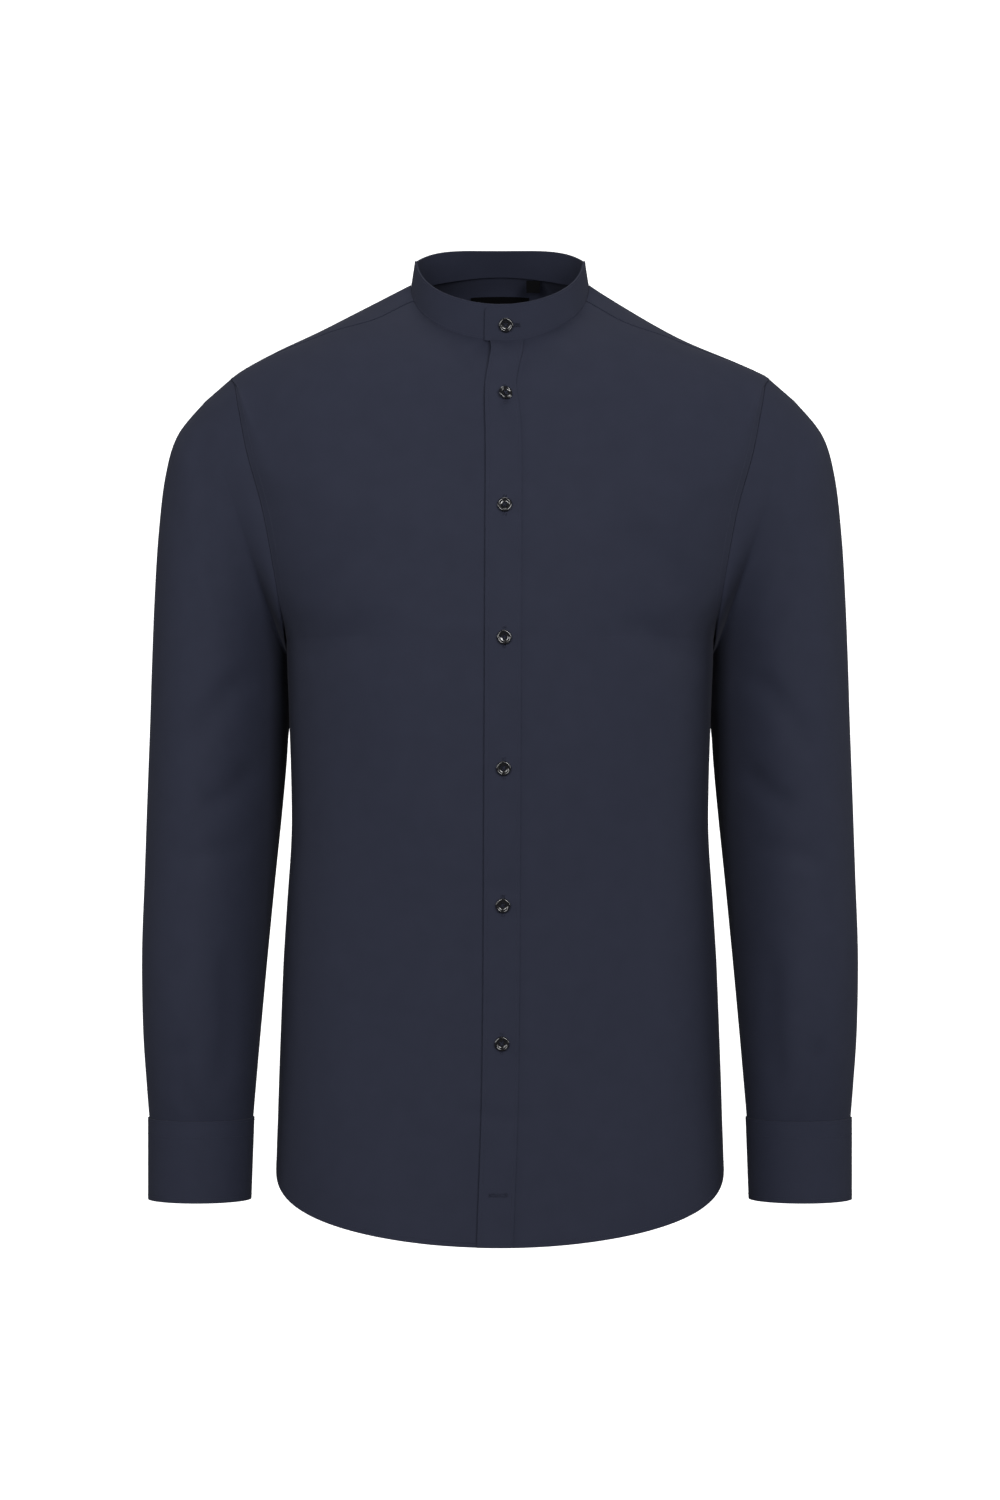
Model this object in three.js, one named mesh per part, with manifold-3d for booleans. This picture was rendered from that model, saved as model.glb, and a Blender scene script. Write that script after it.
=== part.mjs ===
// A mandarin collar shirt with long sleeves, hollow and filled out as it is when worn.
// Millimetres, +Z up, the front faces -Y and the wearer's left is +X. The origin is the middle of
// the neck, level with the place where the shoulders meet the collar.
import * as THREE from "three";
import { mergeVertices } from "three/addons/utils/BufferGeometryUtils.js";
import Module from "manifold-3d";

// Cloth
const CLOTH = 1.2;
const BAND_CLOTH = 1.7;
const CUFF_CLOTH = 1.7;
const SEAM_GAP = 0.3;
const LAP_GAP = 0.4;
const ARMHOLE_GAP = 0.6;

// Front closing
const PLACKET_WIDTH = 28;
const PLACKET_TOP = 3.5;
const UNDER_LAP_BLEND = 40;
const BUTTON_HEIGHTS = [-85, -173, -275, -376, -482, -589];

// Collar band
const BAND_OVER_END = -11.5;
const BAND_UNDER_END = 13;
const BAND_CORNER = 7;
const BAND_LAP_ANGLE = 70;
const COLLAR_BUTTON_X = 4.4;

// Sleeves and cuffs
const SLEEVE_END = -655;
const CUFF_TOP_OFFSET = 0.9;
const CUFF_LENGTH = 65;
const CUFF_LAP = 22;
const CUFF_LAP_ANGLE = 60;
const CUFF_OPENING_ANGLE = 286.5;
const SLEEVE_PLACKET_RINGS = 2.7;

// Button
const BUTTON_RADIUS = 5.7;
const BUTTON_THICKNESS = 2.5;
const BUTTON_HOLE_RADIUS = 0.75;
const BUTTON_HOLE_SPREAD = 1.35;

// Labels inside the back of the neck
const LABEL = { halfWidth: 24, rows: [1, 2, 2.5], gap: 0.8, thickness: 0.6 };
const SIZE_TAB = { x: 27.5, width: 11, drop: 10, thickness: 0.6 };

// A table's rows as objects with named columns.
const table = (names, rows) =>
  rows.map((row) => Object.fromEntries(names.split(" ").map((name, i) => [name, row[i]])));

// Rings of the torso from the neck seam down to the underarm. Each ring is level at its sides
// (side_z) and leans to front_z and back_z at the middle of the front and the back. yoke is the
// angle from the middle of the front where the yoke starts; armhole_front and armhole_back are
// the angles where the front and the back stop at the armhole.
const SHOULDER_RINGS = table("half front back side_z front_z back_z yoke armhole_front armhole_back", [
  [71, 62, 68, 9.6, -39.4, 25, 71, 90, 90],
  [107, 79, 84, -9, -60, 10, 65, 90, 90],
  [144, 92, 98, -28, -84, -12, 74, 90, 90],
  [180, 101, 108, -45, -108, -36, 81, 90, 90],
  [212, 107.5, 112.8, -63, -128, -58, 90, 90, 90],
  [214.5, 110.2, 114.3, -68.5, -138, -70, 90, 76, 104],
  [219, 113.5, 116, -84, -151, -86, 90, 67, 112.5],
  [220, 119, 118.5, -119, -173, -120, 90, 61, 118],
  [210, 124, 119, -160, -197, -160, 90, 60, 119],
  [200, 126, 118, -202, -224, -202, 90, 61, 118],
  [187, 128, 117, -238, -249, -238, 90, 66, 113],
  [174.5, 129, 116, -262, -266, -262, 90, 76, 103],
  [170.5, 129, 115, -274, -274, -274, 90, 90, 90],
]);
const TIP = 4;
const UNDERARM = SHOULDER_RINGS.length - 1;
const BACK_YOKE_SEAM = 6;
const RING_POWER = 2.25;
const LEFT_SHOULDER_DROP = 6;

// Sections of the body below the underarm, by height.
const BODY_SECTIONS = table("z half front back", [
  [-274, 170.5, 129, 115],
  [-333, 168.5, 128, 109],
  [-400, 166.6, 125, 105],
  [-434, 166.8, 123, 104],
  [-482, 170, 120, 105],
  [-530, 173, 118, 108],
  [-594, 175.5, 117, 113],
  [-658, 177.6, 118, 117],
  [-700, 179, 119, 119],
  [-770, 180, 121, 121],
]);
const HEM = { side: -693, front: -747, back: -762, power: 0.92 };
const BODY_ROWS = 15;

// Middle line of the front closing, by height.
const PLACKET_LINE = table("z x", [
  [-30, 3.2],
  [-170, 2.8],
  [-545, 1.2],
  [-640, -0.2],
  [-760, -4],
]);

// Rings of a sleeve below the armhole: the outer and the inner point of each ring in the front
// view, its middle from front to back and its half depth.
const SLEEVE_RINGS = table("outer_x outer_z inner_x inner_z y depth", [
  [236, -83, 172.5, -287, 4, 66],
  [258, -110, 171.8, -298, 5, 66],
  [268, -143, 171.3, -309, 6, 67],
  [273.5, -190, 171, -321, 6, 68],
  [276.5, -240, 170.9, -334, 5, 68],
  [278.5, -292, 171.2, -350, 4, 67],
  [280, -342, 172.4, -372, 3, 66],
  [282, -400, 175.8, -412, 1, 64],
  [284, -462, 181, -466, -1, 62],
  [286, -525, 186.5, -527, -3, 60],
  [285, -585, 191.5, -586, -4, 56],
  [282, -630, 195, -630, -5, 49],
  [280, SLEEVE_END, 197, SLEEVE_END, -5, 43],
]);
const CUFF_RINGS = [
  { x: 238.6, y: -5, half: 41.6, depth: 43 },
  { x: 239.8, y: -5, half: 40.4, depth: 41.5 },
];

// Grid
const FRONT_COLUMNS = 13;
const BACK_COLUMNS = 24;
const YOKE_COLUMNS = 30;
const SLEEVE_SIDES = 22;
const BAND_COLUMNS = 44;
const CUFF_COLUMNS = 30;

const COLOURS = { shirt_cloth: 0x2b2d3b, button: 0x0b0b0d, label: 0x0d0d10 };
const shirtCloth = () =>
  new THREE.MeshStandardMaterial({ color: COLOURS.shirt_cloth, roughness: 0.85, side: THREE.DoubleSide });
const buttonPlastic = () =>
  new THREE.MeshStandardMaterial({ color: COLOURS.button, roughness: 0.15 });
const labelCloth = () =>
  new THREE.MeshStandardMaterial({ color: COLOURS.label, roughness: 0.7 });

const rad = THREE.MathUtils.degToRad;
const deg = THREE.MathUtils.radToDeg;
const mix = THREE.MathUtils.lerp;
const clamp = THREE.MathUtils.clamp;
const ease = (t) => THREE.MathUtils.smoothstep(t, 0, 1);

// A smooth value between the rows a, b, c, d of a table, t of the way from b to c.
function smooth(a, b, c, d, t) {
  const before = (c - a) / 2;
  const after = (d - b) / 2;
  const t2 = t * t;
  const t3 = t2 * t;
  return b * (2 * t3 - 3 * t2 + 1) + before * (t3 - 2 * t2 + t) + c * (3 * t2 - 2 * t3) + after * (t3 - t2);
}

// The column of a table at a row number that need not be whole.
function column(rows, name, row) {
  const last = rows.length - 1;
  const at = (i) => rows[clamp(i, 0, last)][name];
  const i = clamp(Math.floor(row), 0, last - 1);
  return smooth(at(i - 1), at(i), at(i + 1), at(i + 2), clamp(row - i, 0, 1));
}

// The column of a table whose rows are sorted from the top down, at a height.
function columnAtHeight(rows, name, z) {
  let i = 0;
  while (i < rows.length - 2 && rows[i + 1].z > z) i += 1;
  const t = clamp((rows[i].z - z) / (rows[i].z - rows[i + 1].z), 0, 1);
  return column(rows, name, i + t);
}

// A point of a rounded section, by its angle from the middle of the front towards the left.
function sectionPoint(angle, half, front, back) {
  const s = Math.sin(rad(angle));
  const c = Math.cos(rad(angle));
  const size = (Math.abs(s) ** RING_POWER + Math.abs(c) ** RING_POWER) ** (1 / RING_POWER);
  return { x: (half * s) / size, y: (-(c > 0 ? front : back) * c) / size };
}

// The angle at which a section reaches x on its front.
function angleAtX(x, half) {
  const q = (Math.abs(x) / half) ** RING_POWER;
  return Math.sign(x) * deg(Math.atan((q / (1 - q)) ** (1 / RING_POWER)));
}

function hemHeight(angle) {
  const c = Math.cos(rad(angle));
  const end = c > 0 ? HEM.front : HEM.back;
  return mix(HEM.side, end, Math.abs(c) ** HEM.power);
}

// How much of its fall a neck line has made on the front at the cosine of its angle: it falls
// fast just in front of the shoulders. rounding softens its start.
const steepFall = (c, rounding) => ((1 + rounding) * c ** 3) / (c * c + rounding);
const NECK_SEAM_ROUNDING = 0.01;
const RIM_ROUNDING = 0.05;

// How far a shoulder ring has leant at an angle; only the rings next to the neck fall fast.
function lean(row, c) {
  if (c <= 0) return c * c;
  return mix(c * c, steepFall(c, NECK_SEAM_ROUNDING), Math.max(1 - row / 2, 0) ** 2);
}

// The left shoulder lies a little lower between the neck and its tip.
function leftShoulderDrop(row, angle) {
  const along = Math.sin(Math.PI * clamp(row / TIP, 0, 1));
  return LEFT_SHOULDER_DROP * along * Math.max(Math.sin(rad(angle)), 0) ** 5;
}

// The torso's outer surface. Rows up to UNDERARM are the shoulder rings; the last row is the hem.
const LAST_ROW = UNDERARM + BODY_ROWS;
function torso(row, angle) {
  if (row <= UNDERARM) {
    const get = (name) => column(SHOULDER_RINGS, name, row);
    const p = sectionPoint(angle, get("half"), get("front"), get("back"));
    const c = Math.cos(rad(angle));
    const z = mix(get("side_z"), get(c > 0 ? "front_z" : "back_z"), lean(row, c));
    return new THREE.Vector3(p.x, p.y, z - leftShoulderDrop(row, angle));
  }
  const top = SHOULDER_RINGS[UNDERARM].side_z;
  const z = mix(top, hemHeight(angle), (row - UNDERARM) / BODY_ROWS);
  const get = (name) => columnAtHeight(BODY_SECTIONS, name, z);
  const p = sectionPoint(angle, get("half"), get("front"), get("back"));
  return new THREE.Vector3(p.x, p.y, z);
}

// The outward direction of a surface(u, v), whose u and v run so that du x dv points out.
function normalOf(surface, u, v, du = 0.01, dv = 0.01) {
  const alongU = surface(u + du, v).sub(surface(u - du, v));
  const alongV = surface(u, v + dv).sub(surface(u, v - dv));
  return alongU.cross(alongV).normalize();
}

function torsoNormal(row, angle) {
  const r = clamp(row, 0.02, LAST_ROW - 0.02);
  const nearUnderarm = Math.abs(r - UNDERARM) < 0.05 ? UNDERARM - 0.05 : r;
  return normalOf(torso, nearUnderarm, angle);
}

// A point moved out of the torso's surface.
function torsoLifted(row, angle, lift) {
  return torso(row, angle).addScaledVector(torsoNormal(row, angle), lift);
}

function halfWidthAt(row) {
  if (row <= UNDERARM) return column(SHOULDER_RINGS, "half", row);
  return columnAtHeight(BODY_SECTIONS, "half", torso(row, 0).z);
}

// The angle whose front point has this x on this row.
const rowAngleAtX = (row, x) => angleAtX(x, halfWidthAt(row));

// The row whose middle front point has this height.
function rowAtFrontHeight(z) {
  let low = 0;
  let high = LAST_ROW;
  for (let i = 0; i < 40; i += 1) {
    const middle = (low + high) / 2;
    if (torso(middle, 0).z > z) low = middle;
    else high = middle;
  }
  return low;
}

// How far an angle moves for a length along a ring, and a row for a length down a panel.
function angleStep(row, angle, length) {
  const speed = torso(row, angle + 0.5).distanceTo(torso(row, angle - 0.5));
  return length / speed;
}
function rowStep(row, angle, length) {
  const speed = torso(row + 0.1, angle).distanceTo(torso(row, angle)) / 0.1;
  return length / speed;
}

const placketMiddle = (row) => columnAtHeight(PLACKET_LINE, "x", torso(row, 0).z);

// Where the front panels stop at the side: yoke seam, armhole or side seam.
function frontEdge(row) {
  if (row <= TIP) return column(SHOULDER_RINGS.slice(0, TIP + 1), "yoke", row);
  return armholeAngle(row, "armhole_front");
}
function armholeAngle(row, name) {
  if (row >= UNDERARM) return 90;
  return column(SHOULDER_RINGS.slice(TIP), name, row - TIP);
}

// A closed wall of cloth between points on a grid: outer(i, j) and inner(i, j) give the two faces,
// i counts round and j counts down.
function wall(columns, rows, outer, inner, round = false) {
  const width = round ? columns : columns + 1;
  const points = [];
  for (const face of [outer, inner])
    for (let j = 0; j <= rows; j += 1)
      for (let i = 0; i < width; i += 1) points.push(face(i, j));
  const layer = width * (rows + 1);
  const at = (i, j, face) => face * layer + j * width + (i % width);
  const faces = [];
  const quad = (a, b, c, d) => faces.push(a, b, c, a, c, d);
  for (let j = 0; j < rows; j += 1)
    for (let i = 0; i < columns; i += 1) {
      quad(at(i, j, 0), at(i, j + 1, 0), at(i + 1, j + 1, 0), at(i + 1, j, 0));
      quad(at(i, j, 1), at(i + 1, j, 1), at(i + 1, j + 1, 1), at(i, j + 1, 1));
    }
  for (let i = 0; i < columns; i += 1) {
    quad(at(i, 0, 0), at(i + 1, 0, 0), at(i + 1, 0, 1), at(i, 0, 1));
    quad(at(i, rows, 1), at(i + 1, rows, 1), at(i + 1, rows, 0), at(i, rows, 0));
  }
  if (!round)
    for (let j = 0; j < rows; j += 1) {
      quad(at(0, j, 0), at(0, j, 1), at(0, j + 1, 1), at(0, j + 1, 0));
      quad(at(columns, j, 1), at(columns, j, 0), at(columns, j + 1, 0), at(columns, j + 1, 1));
    }
  const geometry = new THREE.BufferGeometry();
  geometry.setAttribute("position", new THREE.Float32BufferAttribute(points.flatMap((p) => p.toArray()), 3));
  geometry.setIndex(faces);
  geometry.computeVertexNormals();
  return geometry;
}

// The rows shared by every torso panel between two rows, so that their seams match.
function rowsBetween(first, last) {
  const rows = [first];
  for (let row = Math.floor(first) + 1; row < last; row += 1) rows.push(row);
  rows.push(last);
  return rows;
}

// A torso panel: rows, its two edge angles by row, and how far its outer face is moved out.
function torsoPanel(rows, startAngle, endAngle, columns, lift, thickness = CLOTH) {
  const place = (i, j, depth) => {
    const row = rows[j];
    const angle = mix(startAngle(row), endAngle(row), i / columns);
    return torsoLifted(row, angle, lift(row, angle) - depth);
  };
  return wall(columns, rows.length - 1, (i, j) => place(i, j, 0), (i, j) => place(i, j, thickness));
}

const neckRow = rowStep(0, 0, SEAM_GAP / 2);
const flat = () => 0;

// The front on the wearer's left lies over; its free edge is the left edge of the placket strip.
function frontLeft() {
  const start = (row) => rowAngleAtX(row, placketMiddle(row) - PLACKET_WIDTH / 2);
  const end = (row) => frontEdge(row) - angleStep(row, frontEdge(row), SEAM_GAP / 2);
  return torsoPanel(rowsBetween(neckRow, LAST_ROW), start, end, FRONT_COLUMNS, flat);
}

// The front on the wearer's right runs on under the other, sunk by one cloth.
function frontRight() {
  const lap = (row) => placketMiddle(row) + PLACKET_WIDTH / 2 - 2;
  const start = (row) => -frontEdge(row) + angleStep(row, frontEdge(row), SEAM_GAP / 2);
  const end = (row) => rowAngleAtX(row, lap(row));
  const sink = (row, angle) => {
    const edge = placketMiddle(row) - PLACKET_WIDTH / 2 - 3;
    const x = torso(row, angle).x;
    return -(CLOTH + LAP_GAP) * ease(1 + (x - edge) / UNDER_LAP_BLEND);
  };
  return torsoPanel(rowsBetween(neckRow, LAST_ROW), start, end, FRONT_COLUMNS + 1, sink);
}

// The placket strip is made from the points of the front that it lies on, moved out.
function placket() {
  const top = neckRow + rowStep(0, 0, PLACKET_TOP);
  const bottom = LAST_ROW - rowStep(LAST_ROW - 1, 0, 0.5);
  const edge = (side) => (row) => rowAngleAtX(row, placketMiddle(row) + (side * PLACKET_WIDTH) / 2);
  return torsoPanel(rowsBetween(top, bottom), edge(-1), edge(1), 2, () => SEAM_GAP + CLOTH);
}

function back() {
  const rows = rowsBetween(BACK_YOKE_SEAM, LAST_ROW);
  rows[0] += rowStep(BACK_YOKE_SEAM, 180, SEAM_GAP / 2);
  const edge = (row) => armholeAngle(row, "armhole_back");
  const start = (row) => edge(row) + angleStep(row, edge(row), SEAM_GAP / 2);
  const end = (row) => 360 - start(row);
  return torsoPanel(rows, start, end, BACK_COLUMNS, flat);
}

// The yoke runs from the forward shoulder seams over the shoulders and across the back.
function yoke() {
  const rows = rowsBetween(neckRow, BACK_YOKE_SEAM);
  rows[rows.length - 1] -= rowStep(BACK_YOKE_SEAM, 180, SEAM_GAP / 2);
  const edge = (row) => (row <= TIP ? frontEdge(row) : armholeAngle(row, "armhole_back"));
  const start = (row) => edge(row) + angleStep(row, edge(row), SEAM_GAP / 2);
  const end = (row) => 360 - start(row);
  return torsoPanel(rows, start, end, YOKE_COLUMNS, flat);
}

// The collar band stands on the neck seam. Height runs from 0 at the seam to 1 at the rim.
const RIM = { half: 68, front: 66, back: 52, side_z: 29, front_z: -12, back_z: 42.7, back_power: 5 };
function bandSurface(height, angle) {
  const base = torso(0, angle);
  const rim = sectionPoint(angle, RIM.half, RIM.front, RIM.back);
  const c = Math.cos(rad(angle));
  const side = Math.abs(Math.sin(rad(angle)));
  const z =
    c > 0
      ? mix(RIM.side_z, RIM.front_z, steepFall(c, RIM_ROUNDING))
      : mix(RIM.back_z, RIM.side_z, side ** RIM.back_power);
  return base.lerp(new THREE.Vector3(rim.x, rim.y, z), height);
}

function collarBand() {
  const startAngle = angleAtX(BAND_OVER_END, RIM.half);
  const endAngle = 360 + angleAtX(BAND_UNDER_END, RIM.half);
  const length = bandSurface(1, 0).distanceTo(bandSurface(0, 0));
  const angles = bandAngles(startAngle, endAngle);
  const heights = [0, 0.33, 0.66, 1];
  const place = (i, j, depth) => {
    const angle = angles[i];
    const mm = Math.min(angle - startAngle, endAngle - angle) * rad(1) * RIM.front;
    const inCorner = Math.max(BAND_CORNER - mm, 0);
    const cut = (BAND_CORNER - Math.sqrt(BAND_CORNER ** 2 - inCorner ** 2)) / length;
    const low = SEAM_GAP / 2 / length;
    const height = mix(1 - cut, low, heights[j]);
    const over = ease(1 - (angle - startAngle) / BAND_LAP_ANGLE);
    const lift = (BAND_CLOTH + LAP_GAP) * over;
    const normal = normalOf((h, a) => bandSurface(-h, a), -height, angle);
    return bandSurface(height, angle).addScaledVector(normal, lift - depth);
  };
  const columns = angles.length - 1;
  return wall(columns, 3, (i, j) => place(i, j, 0), (i, j) => place(i, j, BAND_CLOTH));
}

// Angles along the band, closer at its two round ends.
function bandAngles(start, end) {
  const corner = [0, 0.6, 1.8, 3.6, BAND_CORNER].map((mm) => mm / (rad(1) * RIM.front));
  const first = start + corner[4];
  const last = end - corner[4];
  const angles = corner.slice(0, 4).map((step) => start + step);
  for (let i = 0; i <= BAND_COLUMNS; i += 1) angles.push(mix(first, last, i / BAND_COLUMNS));
  for (const step of corner.slice(0, 4).reverse()) angles.push(end - step);
  return angles;
}

// The armhole seam on the wearer's left, by an angle round the sleeve: 0 at the shoulder tip,
// 90 at the front, 180 at the underarm.
const ARMHOLE = { front: armholeCurve("armhole_front"), back: armholeCurve("armhole_back") };
function armholeCurve(name) {
  const points = [];
  for (let row = TIP; row <= UNDERARM; row += 0.125) points.push(torso(row, armholeAngle(row, name)));
  return new THREE.CatmullRomCurve3(points, false, "centripetal");
}
function armholePoint(turn) {
  const t = ((turn % 360) + 360) % 360;
  return t <= 180 ? ARMHOLE.front.getPointAt(t / 180) : ARMHOLE.back.getPointAt((360 - t) / 180);
}

// The left sleeve's outer surface: ring 0 is the armhole, the last ring meets the cuff.
// HEAD_TURN evens out the points round its long, narrow upper rings.
const SLEEVE_LAST = SLEEVE_RINGS.length;
const HEAD_TURN = 6;
function sleeveRingPoint(ring, turn) {
  const get = (name) => column(SLEEVE_RINGS, name, ring);
  const evened = turn + HEAD_TURN * (1 - ease(ring / 5)) * Math.sin(2 * rad(turn));
  const c = Math.cos(rad(evened));
  const s = Math.sin(rad(evened));
  const outer = new THREE.Vector3(get("outer_x"), get("y"), get("outer_z"));
  const inner = new THREE.Vector3(get("inner_x"), get("y"), get("inner_z"));
  const point = outer.clone().add(inner).multiplyScalar(0.5);
  point.addScaledVector(outer.sub(inner), c / 2);
  point.y -= get("depth") * s;
  return point;
}
function sleeve(ring, turn) {
  if (ring >= 1) return sleeveRingPoint(ring - 1, turn);
  return armholePoint(turn).lerp(sleeveRingPoint(0, turn), ring);
}
function sleeveLifted(ring, turn, lift) {
  const r = clamp(ring, 0.05, SLEEVE_LAST - 0.02);
  const normal = normalOf((v, u) => sleeve(v, -u), r === 1 ? 0.97 : r, -turn);
  return sleeve(ring, turn).addScaledVector(normal, lift);
}

// The sleeves are mirror images, so each is made on the left and turned over for the right.
function mirrored(geometry) {
  const copy = geometry.clone();
  const position = copy.getAttribute("position");
  for (let i = 0; i < position.count; i += 1) position.setX(i, -position.getX(i));
  const index = copy.getIndex();
  for (let i = 0; i < index.count; i += 3) {
    const second = index.getX(i + 1);
    index.setX(i + 1, index.getX(i + 2));
    index.setX(i + 2, second);
  }
  copy.computeVertexNormals();
  return copy;
}

function sleeveWall() {
  const rings = [];
  for (let ring = 0; ring <= SLEEVE_LAST; ring += 1) rings.push(ring);
  rings.splice(1, 0, 0.5);
  const place = (i, j, depth) => {
    const turn = (-i * 360) / SLEEVE_SIDES;
    const step = ARMHOLE_GAP / sleeve(0.5, turn).distanceTo(sleeve(0, turn)) / 2;
    const ring = j === 0 ? step : rings[j];
    return sleeveLifted(ring, turn, -depth);
  };
  const rows = rings.length - 1;
  return wall(SLEEVE_SIDES, rows, (i, j) => place(i, j, 0), (i, j) => place(i, j, CLOTH), true);
}

// The cuff's outer surface by height (0 at its top, 1 at its lower edge) and turn.
function cuffSurface(height, turn) {
  const get = (name) => mix(CUFF_RINGS[0][name], CUFF_RINGS[1][name], height);
  const c = Math.cos(rad(turn));
  const s = Math.sin(rad(turn));
  const grow = CUFF_TOP_OFFSET;
  return new THREE.Vector3(
    get("x") + (get("half") + grow) * c,
    get("y") - (get("depth") + grow) * s,
    SLEEVE_END - SEAM_GAP - CUFF_LENGTH * height,
  );
}
function cuffPoint(height, turn, lift) {
  const normal = normalOf((v, u) => cuffSurface(v, -u), height, -turn);
  return cuffSurface(height, turn).addScaledVector(normal, lift);
}

const cuffLapTurn = () => CUFF_LAP / (rad(1) * CUFF_RINGS[0].half) / 2;

function cuffLift(turn) {
  const first = CUFF_OPENING_ANGLE + cuffLapTurn();
  return (CUFF_CLOTH + LAP_GAP) * ease(1 - (first - turn) / CUFF_LAP_ANGLE);
}

function cuff() {
  const first = CUFF_OPENING_ANGLE + cuffLapTurn();
  const last = CUFF_OPENING_ANGLE - 360 - cuffLapTurn();
  const place = (i, j, depth) => {
    const turn = mix(first, last, i / CUFF_COLUMNS);
    return cuffPoint(j / 2, turn, cuffLift(turn) - depth);
  };
  return wall(CUFF_COLUMNS, 2, (i, j) => place(i, j, 0), (i, j) => place(i, j, CUFF_CLOTH));
}

// A point of the sleeve wall's own grid, between its corners, so that a strip on it lies flat.
function sleeveGridPoint(side, ring, lift) {
  const corner = (i, j) => sleeveLifted(j, (-i * 360) / SLEEVE_SIDES, lift);
  const i = Math.floor(side);
  const j = Math.min(Math.floor(ring), SLEEVE_LAST - 1);
  const above = corner(i, j).lerp(corner(i + 1, j), side - i);
  const below = corner(i, j + 1).lerp(corner(i + 1, j + 1), side - i);
  return above.lerp(below, ring - j);
}

// The strip that finishes the sleeve's opening above the cuff.
function sleevePlacket() {
  const end = SLEEVE_LAST - 0.04;
  const rings = [SLEEVE_LAST - SLEEVE_PLACKET_RINGS, SLEEVE_LAST - 2, SLEEVE_LAST - 1, end];
  const middle = ((360 - CUFF_OPENING_ANGLE) * SLEEVE_SIDES) / 360;
  const sides = [middle - 0.8, Math.floor(middle), Math.ceil(middle), middle + 0.8];
  const place = (i, j, depth) => sleeveGridPoint(sides[i], rings[j], SEAM_GAP + CLOTH - depth);
  return wall(3, 3, (i, j) => place(i, j, 0), (i, j) => place(i, j, CLOTH));
}

// A bare label sewn inside the yoke, and a small bare tab hanging from the neck seam.
function neckLabel() {
  const inside = -CLOTH - LABEL.gap;
  const edge = (side) => (row) => 180 - side * angleAtX(LABEL.halfWidth, halfWidthAt(row));
  return torsoPanel(LABEL.rows, edge(1), edge(-1), 4, () => inside, LABEL.thickness);
}
function sizeTab() {
  const top = torsoLifted(neckRow, 180 - angleAtX(SIZE_TAB.x, SHOULDER_RINGS[0].half), -CLOTH - 1);
  const geometry = new THREE.BoxGeometry(SIZE_TAB.width, SIZE_TAB.thickness, SIZE_TAB.drop);
  geometry.translate(top.x, top.y - 1.6, top.z - SIZE_TAB.drop / 2 - 1);
  return geometry;
}

const wasm = await Module();
wasm.setup();

function toSolid(geometry) {
  const bare = geometry.clone();
  bare.deleteAttribute("normal");
  bare.deleteAttribute("uv");
  const merged = mergeVertices(bare, 1e-4);
  return new wasm.Manifold(
    new wasm.Mesh({
      numProp: 3,
      vertProperties: merged.getAttribute("position").array,
      triVerts: new Uint32Array(merged.getIndex().array),
    }),
  );
}
function fromSolid(solid) {
  const mesh = solid.getMesh();
  const geometry = new THREE.BufferGeometry();
  geometry.setAttribute("position", new THREE.BufferAttribute(new Float32Array(mesh.vertProperties), 3));
  geometry.setIndex(new THREE.BufferAttribute(new Uint32Array(mesh.triVerts), 1));
  geometry.computeVertexNormals();
  return geometry;
}

// A four-hole button with a raised rim, its back at z = 0 and its axis along +Z.
function makeButton() {
  const profile = [
    [0, 0],
    [BUTTON_RADIUS * 0.8, 0],
    [BUTTON_RADIUS, BUTTON_THICKNESS * 0.45],
    [BUTTON_RADIUS * 0.96, BUTTON_THICKNESS * 0.8],
    [BUTTON_RADIUS * 0.86, BUTTON_THICKNESS],
    [BUTTON_RADIUS * 0.74, BUTTON_THICKNESS * 0.92],
    [BUTTON_RADIUS * 0.6, BUTTON_THICKNESS * 0.6],
    [0, BUTTON_THICKNESS * 0.6],
  ].map(([x, y]) => new THREE.Vector2(x, y));
  let solid = toSolid(new THREE.LatheGeometry(profile, 18).rotateX(Math.PI / 2));
  for (const sx of [-1, 1])
    for (const sy of [-1, 1]) {
      const hole = new THREE.CylinderGeometry(BUTTON_HOLE_RADIUS, BUTTON_HOLE_RADIUS, 8, 8);
      hole.rotateX(Math.PI / 2);
      hole.translate(sx * BUTTON_HOLE_SPREAD, sy * BUTTON_HOLE_SPREAD, 0);
      solid = solid.subtract(toSolid(hole));
    }
  return fromSolid(solid);
}
const buttonGeometry = makeButton();

// A button whose back lies on a point, facing out along a direction.
function buttonAt(name, point, out) {
  const mesh = new THREE.Mesh(buttonGeometry, buttonPlastic());
  mesh.name = name;
  mesh.position.copy(point);
  mesh.quaternion.setFromUnitVectors(new THREE.Vector3(0, 0, 1), out);
  return mesh;
}

function frontButton(number) {
  const row = rowAtFrontHeight(BUTTON_HEIGHTS[number]);
  const angle = rowAngleAtX(row, placketMiddle(row) + 0.8);
  const lift = 2 * SEAM_GAP + CLOTH + 0.15;
  return buttonAt("button_" + (number + 2), torsoLifted(row, angle, lift), torsoNormal(row, angle));
}
function collarButton() {
  const angle = angleAtX(COLLAR_BUTTON_X, RIM.half);
  const height = 0.41;
  const normal = normalOf((h, a) => bandSurface(-h, a), -height, angle);
  const lift = BAND_CLOTH + LAP_GAP + SEAM_GAP + 0.1;
  return buttonAt("button_1", bandSurface(height, angle).addScaledVector(normal, lift), normal);
}
function cuffButton(name, side) {
  const height = 0.5;
  const turn = CUFF_OPENING_ANGLE;
  const lift = cuffLift(turn) + SEAM_GAP + 0.2;
  const point = cuffPoint(height, turn, lift);
  const out = cuffPoint(height, turn, lift + 1).sub(point);
  point.x *= side;
  out.x *= side;
  return buttonAt(name, point, out);
}

const shirt = new THREE.Group();
shirt.name = "mandarin_collar_shirt";
function add(name, geometry, material) {
  const mesh = new THREE.Mesh(geometry, material);
  mesh.name = name;
  shirt.add(mesh);
}

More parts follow.
